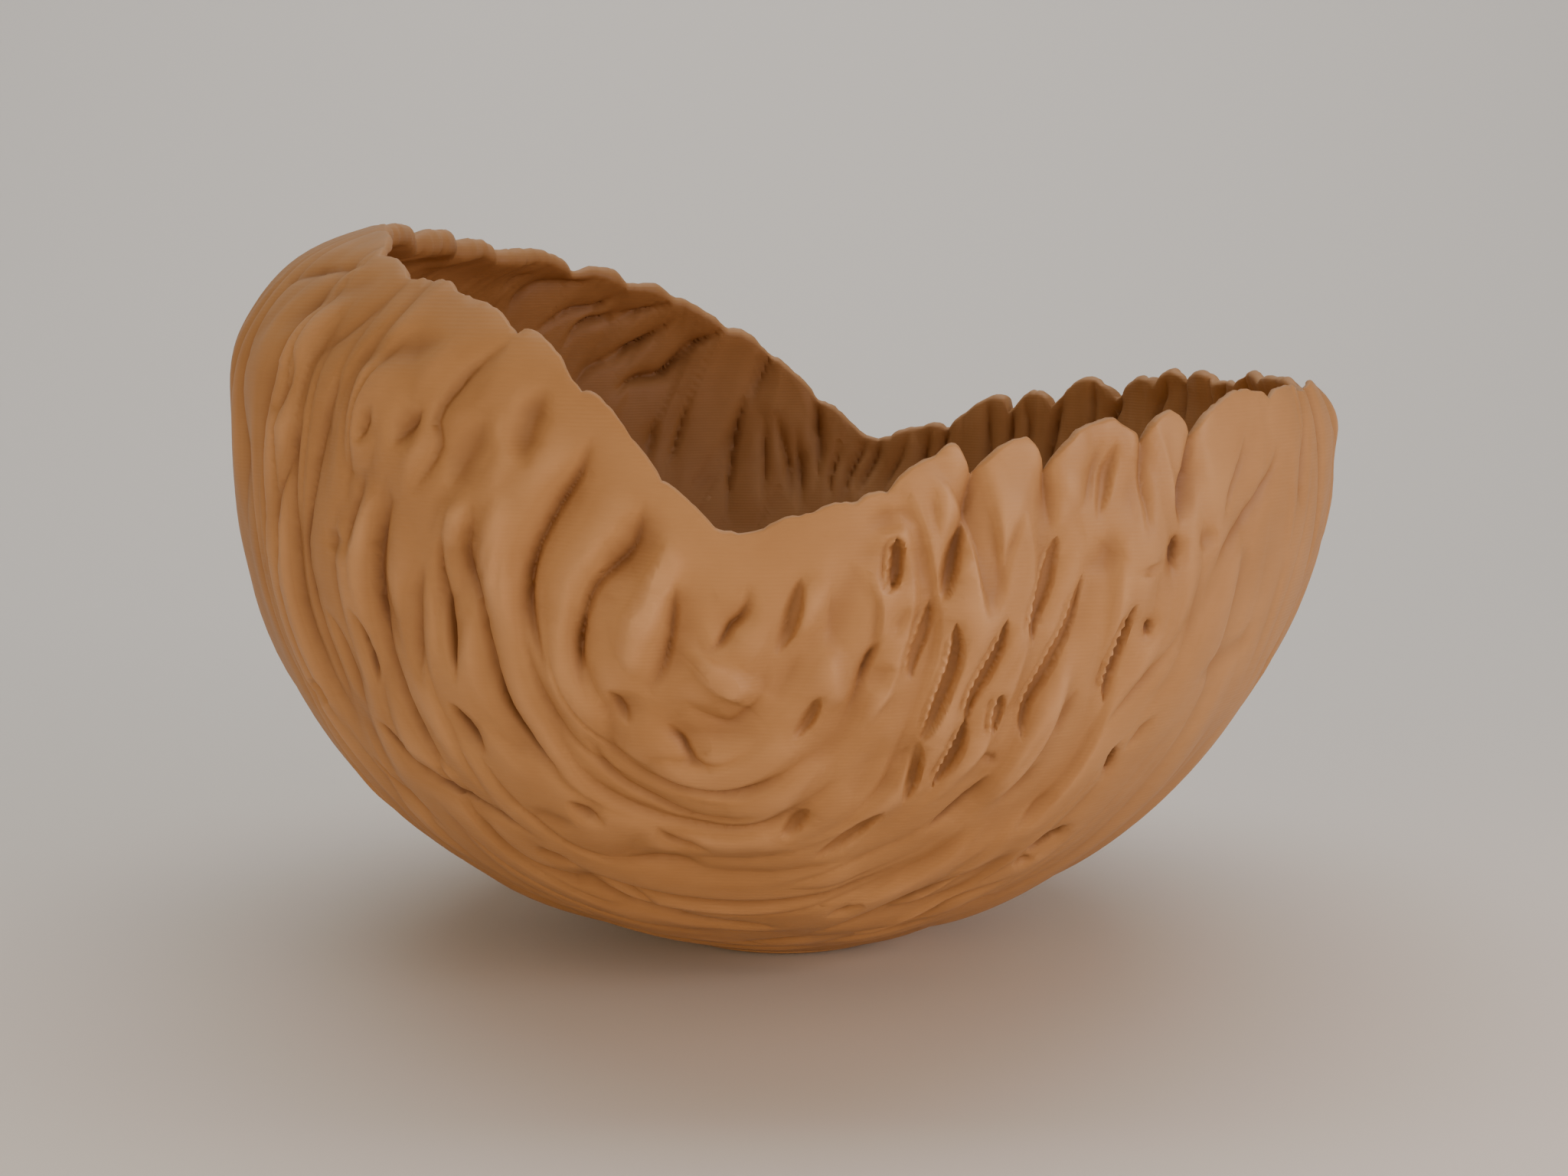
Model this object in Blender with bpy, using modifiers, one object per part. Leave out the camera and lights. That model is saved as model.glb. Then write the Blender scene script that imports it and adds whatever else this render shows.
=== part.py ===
"""Decorative bowl: a thin rippled shell with a scalloped saddle rim, standing on a felt pad.

Metres, +Z up. The origin is the centre of the resting face, +X points to the low lobe and -Y to the front.
"""

import math

import bmesh
import bpy
from mathutils import Vector
from mathutils.geometry import intersect_point_line

# Wall: a sphere below its widest ring, turned in by a tighter shoulder arc above it. The lower wall is drawn
# in from the sphere, evenly towards the foot and more on the side below the low lobe.
BOWL_RADIUS = 0.100
SHOULDER_RADIUS = 0.038
WALL_THICKNESS = 0.0022
FOOT_DRAW = 0.0033
SIDE_DRAW = 0.0018
SIDE_DRAW_TOWARDS = -20.0

# Rim: how far the wall runs along its own surface above (or below) the widest ring.
TALL_LOBE_REACH = 0.052
LOW_LOBE_REACH = 0.012
SADDLE_REACH = -0.010
SADDLE_SHARPNESS = 1.4

# Azimuths of the two low saddles, and how far each one spreads along the rim, in degrees.
FRONT_SADDLE = -94.0
BACK_SADDLE = 78.5
FRONT_SPREAD_TALL = 20.5
FRONT_SPREAD_LOW = 16.0
BACK_SPREAD_TALL = 21.5
BACK_SPREAD_LOW = 20.0

# Teeth of the rim from the front saddle round to the back one, as widths in degrees that fill the way.
TALL_LOBE_TEETH = (6, 7, 7, 7, 9.5, 10.5, 12, 13, 14, 16, 14, 12, 14.5, 11, 7.5, 7.5, 6.5, 6.5, 6)
LOW_LOBE_TEETH = (10, 10, 7, 9.5, 6, 11.5, 11, 13, 14, 13.5, 8, 5.5, 6, 5, 7, 9.5, 6.5, 9, 10.5)
TALL_LOBE_NOTCH = 0.0022
LOW_LOBE_NOTCH = 0.0045

# Ripples: each ridge runs from a tooth of the tall lobe, under the bowl, to a tooth of the low lobe. They
# are even round the back; towards the front they are shallow and give way to the folds.
RIPPLE_DEPTH = 0.0022
FRONT_RIPPLE_SHARE = 0.2
FRONT_RIDGES = 8
ROWS_PER_FRONT_RIDGE = 5
ROWS_PER_BACK_RIDGE = 3
STEPS_ALONG_RIDGE = 36
STEP_CROWDING = 0.06

# Folds of the front, as lines on the wall: at both ends the place counted in ridges and the share of the way
# along them, then the depth. The flank is the distance from the line at which the fold has run out.
FOLDS = (
    (2.9, 0.00, 4.3, 0.06, 0.0028),
    (4.3, 0.06, 4.8, 0.11, 0.0028),
    (5.1, 0.00, 6.2, 0.05, 0.0026),
    (1.8, 0.01, 3.2, 0.12, 0.0038),
    (3.2, 0.12, 3.8, 0.22, 0.0038),
    (1.3, 0.05, 2.8, 0.18, 0.0034),
    (2.8, 0.18, 3.4, 0.25, 0.0034),
    (1.1, 0.13, 2.6, 0.29, 0.0026),
    (3.8, 0.09, 4.6, 0.20, 0.0036),
    (4.6, 0.20, 4.4, 0.28, 0.0036),
    (4.5, 0.11, 5.1, 0.19, 0.0034),
    (5.1, 0.09, 5.9, 0.18, 0.0034),
    (5.9, 0.18, 5.8, 0.23, 0.0030),
    (5.6, 0.05, 6.9, 0.18, 0.0030),
    (6.2, 0.07, 7.1, 0.13, 0.0026),
    (6.6, 0.18, 5.5, 0.27, 0.0038),
    (7.1, 0.19, 6.8, 0.25, 0.0026),
    (3.8, 0.25, 3.4, 0.41, 0.0034),
    (3.4, 0.41, 2.9, 0.55, 0.0030),
    (5.6, 0.28, 5.1, 0.55, 0.0030),
    (6.7, 0.29, 5.5, 0.57, 0.0024),
    (5.4, 0.56, 5.4, 0.77, 0.0026),
    (4.8, 0.31, 4.2, 0.45, 0.0020),
    (0.6, 0.62, 1.3, 0.36, 0.0028),
    (1.3, 0.60, 2.0, 0.42, 0.0024),
    (2.9, 0.98, 3.2, 0.90, 0.0022),
    (2.3, 0.87, 2.7, 0.79, 0.0026),
    (2.1, 0.84, 2.4, 0.70, 0.0026),
    (4.4, 0.81, 4.4, 0.71, 0.0022),
)
FOLD_FLANK = 0.0058
FOLD_STEPS = 6

# Foot and felt pad.
PAD_RADIUS = 0.018
PAD_THICKNESS = 0.0012
PAD_PROUD = 0.0008
PAD_CLEARANCE = 0.0004
GLUE_GAP = 0.0003
PAD_EDGE_ROUND = 0.0003
FOOT_RING_WIDTH = 0.0036
FOOT_STEP = 0.00045
FLOOR_THICKNESS = 0.0022
RIPPLE_RUN_OUT = 0.022
ROUND_SIDES = 96
CUT_OVERRUN = 0.003

RIDGES = len(TALL_LOBE_TEETH)
RECESS_RADIUS = PAD_RADIUS + PAD_CLEARANCE
FOOT_RADIUS = RECESS_RADIUS + FOOT_RING_WIDTH
FOOT_ANGLE = math.acos(FOOT_RADIUS / (BOWL_RADIUS - FOOT_DRAW))
WIDEST_HEIGHT = PAD_PROUD + FOOT_STEP + (BOWL_RADIUS - FOOT_DRAW) * math.sin(FOOT_ANGLE)

# Colours are linear.
TAN_PLASTIC = (0.462, 0.238, 0.107, 1.0)
BROWN_FELT = (0.060, 0.042, 0.030, 1.0)


def new_collection(name):
    collection = bpy.data.collections.new(name)
    bpy.context.scene.collection.children.link(collection)
    return collection


def new_material(name, colour, roughness):
    material = bpy.data.materials.new(name)
    material.use_nodes = True
    shader = material.node_tree.nodes["Principled BSDF"]
    shader.inputs["Base Color"].default_value = colour
    shader.inputs["Roughness"].default_value = roughness
    shader.inputs["Metallic"].default_value = 0.0
    return material


def new_object(name, bm, collection):
    mesh = bpy.data.meshes.new(name)
    bm.to_mesh(mesh)
    bm.free()
    mesh.shade_smooth()
    mesh.set_sharp_from_angle(angle=math.radians(35))
    obj = bpy.data.objects.new(name, mesh)
    collection.objects.link(obj)
    return obj


def disc(name, radius, bottom, top, collection):
    """A round disc on the bowl's axis."""
    bm = bmesh.new()
    bmesh.ops.create_cone(bm, cap_ends=True, segments=ROUND_SIDES, radius1=radius, radius2=radius,
                          depth=top - bottom)
    bmesh.ops.translate(bm, vec=(0, 0, (bottom + top) / 2), verts=bm.verts)
    return new_object(name, bm, collection)


def as_cutter(obj):
    obj.hide_render = True
    obj.display_type = 'WIRE'
    return obj


def add_boolean(obj, operation, tool):
    boolean = obj.modifiers.new(tool.name, 'BOOLEAN')
    boolean.operation = operation
    boolean.solver = 'EXACT'
    boolean.object = tool


def direction(azimuth, elevation):
    """Unit vector for an azimuth and an elevation in radians."""
    level = math.cos(elevation)
    return Vector((level * math.cos(azimuth), level * math.sin(azimuth), math.sin(elevation)))


def smooth_step(low, high, value):
    share = min(max((value - low) / (high - low), 0), 1)
    return share * share * (3 - 2 * share)


def drawn_in(azimuth, angle):
    """How far the wall lies inside the sphere, at an angle below the widest ring."""
    share = min(-angle / FOOT_ANGLE, 1)
    side = math.sin(math.pi * share) ** 2 * math.cos(azimuth - math.radians(SIDE_DRAW_TOWARDS))
    return FOOT_DRAW * smooth_step(0, 1, share) + SIDE_DRAW * side


def wall_point(azimuth, reach, depth):
    """Point of the wall at a reach along the surface from the widest ring, pressed in by a depth."""
    if reach < 0:
        angle = reach / BOWL_RADIUS
        radius = BOWL_RADIUS - drawn_in(azimuth, angle) - depth
        out = radius * math.cos(angle)
        rise = radius * math.sin(angle)
    else:
        angle = reach / SHOULDER_RADIUS
        out = BOWL_RADIUS - SHOULDER_RADIUS + (SHOULDER_RADIUS - depth) * math.cos(angle)
        rise = (SHOULDER_RADIUS - depth) * math.sin(angle)
    return Vector((out * math.cos(azimuth), out * math.sin(azimuth), WIDEST_HEIGHT + rise))


def ridge_profile(place):
    """1 on the crest of a ridge and 0 in the sharp creases between ridges, for a place counted in ridges."""
    return abs(math.sin(math.pi * place))


def along_teeth(teeth, place):
    """Share of the rim passed from the front saddle at a place counted in teeth."""
    whole = min(int(place), len(teeth) - 1)
    return (sum(teeth[:whole]) + teeth[whole] * (place - whole)) / sum(teeth)


def saddle_drop(distance, spread):
    """1 at a saddle, falling to 0 away from it, for a distance and a spread in degrees."""
    return 1 / (1 + (distance / spread) ** SADDLE_SHARPNESS)


def rim_end(place, teeth, turn, lobe_reach, notch, front_spread, back_spread):
    """Azimuth in radians and wall reach of the rim, at a place counted in teeth from the front saddle."""
    passed = along_teeth(teeth, place) * abs(turn)
    low = max(saddle_drop(passed, front_spread), saddle_drop(abs(turn) - passed, back_spread))
    top = lobe_reach + (SADDLE_REACH - lobe_reach) * low
    azimuth = FRONT_SADDLE + math.copysign(passed, turn)
    from_saddle = min(place, RIDGES - place, 1)
    return math.radians(azimuth), top - notch * from_saddle * (1 - ridge_profile(place))


def under_bowl(place):
    """Direction where a ridge passes under the bowl, from the front saddle down and up to the back one."""
    quarter = math.pi / 2 + SADDLE_REACH / BOWL_RADIUS
    from_bottom = quarter * (1 - 2 * place / RIDGES)
    azimuth = FRONT_SADDLE if from_bottom > 0 else BACK_SADDLE
    return direction(math.radians(azimuth), abs(from_bottom) - math.pi / 2)


def fold_lines():
    """Lines of the folds on the smooth wall, each as points in order with the fold's depth."""
    lines = []
    for start, start_along, end, end_along, depth in FOLDS:
        points = []
        for step in range(FOLD_STEPS + 1):
            share = step / FOLD_STEPS
            place = start + (end - start) * share
            along = start_along + (end_along - start_along) * share
            points.append(wall_point(*ridge_line_place(place, along), 0))
        lines.append((points, depth))
    return lines


def distance_to_line(point, line):
    """Distance from a point to the nearest stretch of a line given as points in order."""
    nearest = BOWL_RADIUS
    for start, end in zip(line, line[1:]):
        share = intersect_point_line(point, start, end)[1]
        closest = start.lerp(end, min(max(share, 0), 1))
        nearest = min(nearest, (point - closest).length)
    return nearest


def fold_depth(point, lines):
    """Depth of the deepest fold at a point of the smooth wall."""
    deepest = 0
    for line, depth in lines:
        share = min(distance_to_line(point, line) / FOLD_FLANK, 1)
        deepest = max(deepest, depth * (1 - share ** 2) ** 2)
    return deepest


def relief_depth(place, point, lines):
    """How far ripples and folds press the wall in; they run out before they reach the foot."""
    radius = math.hypot(point.x, point.y) if point.z < WIDEST_HEIGHT else BOWL_RADIUS
    fade = smooth_step(FOOT_RADIUS, FOOT_RADIUS + RIPPLE_RUN_OUT, radius)
    from_front = smooth_step(FRONT_RIDGES - 1, FRONT_RIDGES + 1, place)
    ripple_share = FRONT_RIPPLE_SHARE + (1 - FRONT_RIPPLE_SHARE) * from_front
    ripple = RIPPLE_DEPTH * ripple_share * (1 - ridge_profile(place))
    return fade * max(ripple, fold_depth(point, lines))


def ridge_line_place(place, along):
    """Azimuth and wall reach on a ridge's line; along runs from 0 at the tall lobe to 1 at the low one."""
    right_turn = BACK_SADDLE - FRONT_SADDLE
    left_turn = right_turn - 360
    left = rim_end(place, TALL_LOBE_TEETH, left_turn, TALL_LOBE_REACH, TALL_LOBE_NOTCH,
                   FRONT_SPREAD_TALL, BACK_SPREAD_TALL)
    right = rim_end(place, LOW_LOBE_TEETH, right_turn, LOW_LOBE_REACH, LOW_LOBE_NOTCH,
                    FRONT_SPREAD_LOW, BACK_SPREAD_LOW)
    start = direction(left[0], left[1] / BOWL_RADIUS)
    end = direction(right[0], right[1] / BOWL_RADIUS)
    heading = (start * (1 - along) * (1 - 2 * along) + under_bowl(place) * 4 * along * (1 - along)
               + end * along * (2 * along - 1)).normalized()
    elevation = math.asin(max(-1.0, min(1.0, heading.z)))
    azimuth = math.atan2(heading.y, heading.x)
    return azimuth, elevation * BOWL_RADIUS


def place_of_row(row):
    """Place counted in ridges of a row of the grid; the front's ridges have more rows than the back's."""
    front_rows = FRONT_RIDGES * ROWS_PER_FRONT_RIDGE
    if row <= front_rows:
        return row / ROWS_PER_FRONT_RIDGE
    return FRONT_RIDGES + (row - front_rows) / ROWS_PER_BACK_RIDGE


def rippled_wall(collection):
    """Open outer surface: a grid whose rows are the ridge lines, gathered to a point at each saddle."""
    rows = FRONT_RIDGES * ROWS_PER_FRONT_RIDGE + (RIDGES - FRONT_RIDGES) * ROWS_PER_BACK_RIDGE
    lines = fold_lines()
    bm = bmesh.new()
    bmesh.ops.create_grid(bm, x_segments=STEPS_ALONG_RIDGE, y_segments=rows, size=1)
    for vertex in bm.verts:
        step = (vertex.co.x + 1) / 2
        along = step - STEP_CROWDING * math.sin(2 * math.pi * step)
        place = place_of_row(round((vertex.co.y + 1) / 2 * rows))
        azimuth, reach = ridge_line_place(place, along)
        depth = relief_depth(place, wall_point(azimuth, reach, 0), lines)
        vertex.co = wall_point(azimuth, reach, depth)
    bmesh.ops.remove_doubles(bm, verts=bm.verts, dist=0.00002)
    bmesh.ops.reverse_faces(bm, faces=bm.faces)
    return new_object("bowl_shell", bm, collection)


def bowl_shell(parts, cutters, material):
    shell = rippled_wall(parts)
    thickness = shell.modifiers.new("wall thickness", 'SOLIDIFY')
    thickness.thickness = WALL_THICKNESS
    thickness.offset = -1
    thickness.use_even_offset = True
    floor_top = PAD_PROUD + FLOOR_THICKNESS
    foot = disc("foot disc", FOOT_RADIUS, PAD_PROUD - CUT_OVERRUN, floor_top, cutters)
    below = disc("level cut", BOWL_RADIUS, PAD_PROUD - BOWL_RADIUS, PAD_PROUD, cutters)
    recess = disc("pad recess", RECESS_RADIUS, PAD_PROUD - CUT_OVERRUN, PAD_THICKNESS + GLUE_GAP, cutters)
    add_boolean(shell, 'UNION', as_cutter(foot))
    add_boolean(shell, 'DIFFERENCE', as_cutter(below))
    add_boolean(shell, 'DIFFERENCE', as_cutter(recess))
    shell.data.materials.append(material)
    return shell


def felt_base_pad(parts, material):
    pad = disc("felt_base_pad", PAD_RADIUS, 0, PAD_THICKNESS, parts)
    edge = pad.modifiers.new("pressed edge", 'BEVEL')
    edge.width = PAD_EDGE_ROUND
    edge.segments = 2
    edge.limit_method = 'ANGLE'
    pad.data.materials.append(material)
    return pad


def main():
    for obj in list(bpy.data.objects):
        bpy.data.objects.remove(obj)
    parts = new_collection("decorative_bowl")
    cutters = new_collection("decorative_bowl_cutters")
    bowl_shell(parts, cutters, new_material("tan printed plastic", TAN_PLASTIC, 0.6))
    felt_base_pad(parts, new_material("brown felt", BROWN_FELT, 0.95))


main()
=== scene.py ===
"""Decorative bowl: the looks of its printed shell and of the felt pad under it.

Metres, +Z up, with the front saddle of the rim towards -Y. Folds that the photograph shows are drawn
as strokes in its pixels and laid on the wall by the camera that the scene uses.
"""

import math

import bpy
import numpy as np
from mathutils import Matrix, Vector


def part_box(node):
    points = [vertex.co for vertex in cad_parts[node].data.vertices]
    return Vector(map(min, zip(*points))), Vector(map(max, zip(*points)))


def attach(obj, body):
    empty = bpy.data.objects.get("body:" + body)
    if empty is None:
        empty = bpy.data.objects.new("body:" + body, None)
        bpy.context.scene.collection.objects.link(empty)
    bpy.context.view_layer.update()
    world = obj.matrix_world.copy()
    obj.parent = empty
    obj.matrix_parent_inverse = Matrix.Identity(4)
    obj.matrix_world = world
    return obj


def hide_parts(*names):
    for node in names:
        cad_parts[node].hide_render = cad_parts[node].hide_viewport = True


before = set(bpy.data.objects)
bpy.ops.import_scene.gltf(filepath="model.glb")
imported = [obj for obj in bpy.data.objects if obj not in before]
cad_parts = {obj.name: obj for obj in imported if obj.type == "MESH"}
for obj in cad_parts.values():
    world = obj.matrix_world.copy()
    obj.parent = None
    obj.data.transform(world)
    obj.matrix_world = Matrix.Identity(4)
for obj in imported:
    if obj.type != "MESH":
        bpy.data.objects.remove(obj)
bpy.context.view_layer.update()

MM = 0.001

# The photograph's frame and the camera that fits the bowl's outline in it.
PHOTO_SIZE = (2048, 1536)
FOCAL_PIXELS = 2966
CAMERA_ELEVATION = math.radians(8)
CAMERA_DISTANCE = 0.424
CAMERA_TARGET = np.array((0, 0, 0.0646))
SENSOR_WIDTH_MM = 36

# Stretch of each of the camera's rays that is searched for the wall, in metres, and in how many steps.
RAY_START = 0.26
RAY_END = 0.60
RAY_STEPS = 1400

# How squarely the wall faces the camera, as a cosine, where its drawn folds start and where they are full.
SEEN_START = 0.02
SEEN_FULL = 0.2

# Wall: a sphere below its widest ring, turned in by a tighter shoulder arc above it. The lower wall is drawn
# in from the sphere, evenly towards the foot and more on the side below the low lobe. It swells out a little
# at its sides and at the tall lobe's shoulder, where the swell is full, eases and ends at a reach along it.
BOWL_RADIUS = 0.100
SHOULDER_RADIUS = 0.038
FOOT_DRAW = 3.3 * MM
SIDE_DRAW = 1.8 * MM
SIDE_DRAW_TOWARDS = math.radians(-20)
SIDE_SWELL = 0.8 * MM
SHOULDER_SWELL = 1.8 * MM
SHOULDER_SWELL_TOWARDS = math.radians(190)
SHOULDER_SWELL_SPREAD = math.radians(60)
SHOULDER_SWELL_FULL = 18 * MM
SHOULDER_SWELL_EASE = 30 * MM
SHOULDER_SWELL_END = 48 * MM

# Thickness of the wall. It is thicker at the back, where the folds inside are cut into it, and along the lip
# of the tall lobe, and thinner along the front rim. Its least is only a share where the camera doesn't see
# the inside. The lip starts at a share of the wall's reach, and its middle and sides are in degrees.
WALL = 2.2 * MM
LEAST_WALL = 0.8 * MM
HIDDEN_LEAST = 0.4
INNER_SWELL = 1.4 * MM
LIP = 1.8 * MM
LIP_START = 0.94
LIP_MIDDLE = 172.0
LIP_FULL = 10
LIP_END = 60
RIM_TAPER = 0.9 * MM

# Rim: how far it curls in at the low lobe, over what height, and to how many degrees on either side in full
# and at all. Its edge is uneven and rounded.
RIM_CURL = 3.5 * MM
RIM_CURL_HEIGHT = 9 * MM
RIM_CURL_FULL = 12
RIM_CURL_END = 35
RIM_UNEVEN = 0.3 * MM
RIM_ROUND = 0.8

# Foot and pad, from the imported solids.
PAD_LOW, PAD_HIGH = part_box("felt_base_pad")
PAD_RADIUS = (PAD_HIGH.x - PAD_LOW.x) / 2
FOOT_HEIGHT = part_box("bowl_shell")[0].z
PAD_CLEARANCE = 0.4 * MM
GLUE_GAP = 0.3 * MM
FOOT_RING_WIDTH = 3.6 * MM
FOOT_STEP = 0.45 * MM
FOOT_EDGE_WIDTH = 0.3 * MM
FOOT_EDGE_HEIGHT = 0.25 * MM
PAD_EDGE = 0.3 * MM
RECESS_RADIUS = PAD_RADIUS + PAD_CLEARANCE
RECESS_TOP = PAD_HIGH.z + GLUE_GAP
FOOT_RADIUS = RECESS_RADIUS + FOOT_RING_WIDTH
FLOOR_HEIGHT = FOOT_HEIGHT + WALL
FOOT_ANGLE = math.acos(FOOT_RADIUS / (BOWL_RADIUS - FOOT_DRAW))
WIDEST_HEIGHT = FOOT_HEIGHT + FOOT_STEP + (BOWL_RADIUS - FOOT_DRAW) * math.sin(FOOT_ANGLE)
FOOT_REACH = -BOWL_RADIUS * FOOT_ANGLE

# Scallops of the rim, once round from the front saddle: azimuth in degrees of the notch that starts each one
# and its reach along the wall above the widest ring in mm, then those of its crest.
SCALLOPS = (
    (-95.8, -8.6, -93.8, -9.5), (-91.5, -8.9, -88.0, -6.1), (-83.9, -5.5, -82.7, -4.0),
    (-81.5, -4.2, -79.6, -0.6), (-78.0, 1.0, -75.8, 2.7), (-74.2, -1.1, -69.8, 3.9),
    (-67.3, -1.4, -62.5, 5.9), (-57.5, 2.6, -54.2, 6.6), (-51.6, 2.1, -46.0, 9.1),
    (-39.7, 8.0, -36.0, 9.5), (-31.0, 8.1, -26.0, 9.7), (-21.0, 7.7, -16.0, 9.2),
    (-11.5, 7.0, -6.5, 8.5), (-2.0, 6.4, 6.5, 8.5), (11.4, 7.7, 15.5, 8.8), (19.5, 5.6, 22.0, 6.0),
    (25.0, 5.0, 27.2, 7.5), (30.8, 4.8, 33.3, 6.8), (36.1, 3.2, 39.0, 4.8), (43.1, -0.1, 47.4, 4.5),
    (52.6, -2.4, 55.2, 0.6), (59.1, -4.7, 61.3, -0.9), (68.0, -8.4, 70.6, -7.6),
    (75.5, -10.5, 77.3, -10.7), (79.5, -9.9, 82.8, -4.8), (85.6, -1.9, 88.5, 4.1),
    (91.5, 8.3, 94.8, 13.1), (97.8, 14.9, 101.5, 20.1), (105.8, 23.8, 109.3, 27.6),
    (113.0, 28.2, 117.0, 31.9), (122.2, 31.8, 129.5, 38.0), (138.3, 38.6, 143.5, 42.6),
    (149.8, 41.9, 156.5, 47.6), (166.0, 46.6, 174.0, 49.4), (183.0, 47.2, 190.5, 48.6),
    (199.0, 46.0, 206.0, 46.6), (212.5, 41.6, 216.5, 40.6), (222.3, 33.8, 225.8, 33.2),
    (229.5, 29.2, 234.5, 28.6), (239.0, 25.0, 242.0, 23.7), (246.2, 18.8, 248.6, 18.9),
    (253.0, 9.9, 255.8, 7.8), (259.9, -2.1, 261.6, -3.8),
)
FRONT_SADDLE = -94.0
BACK_SADDLE = 78.5

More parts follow.
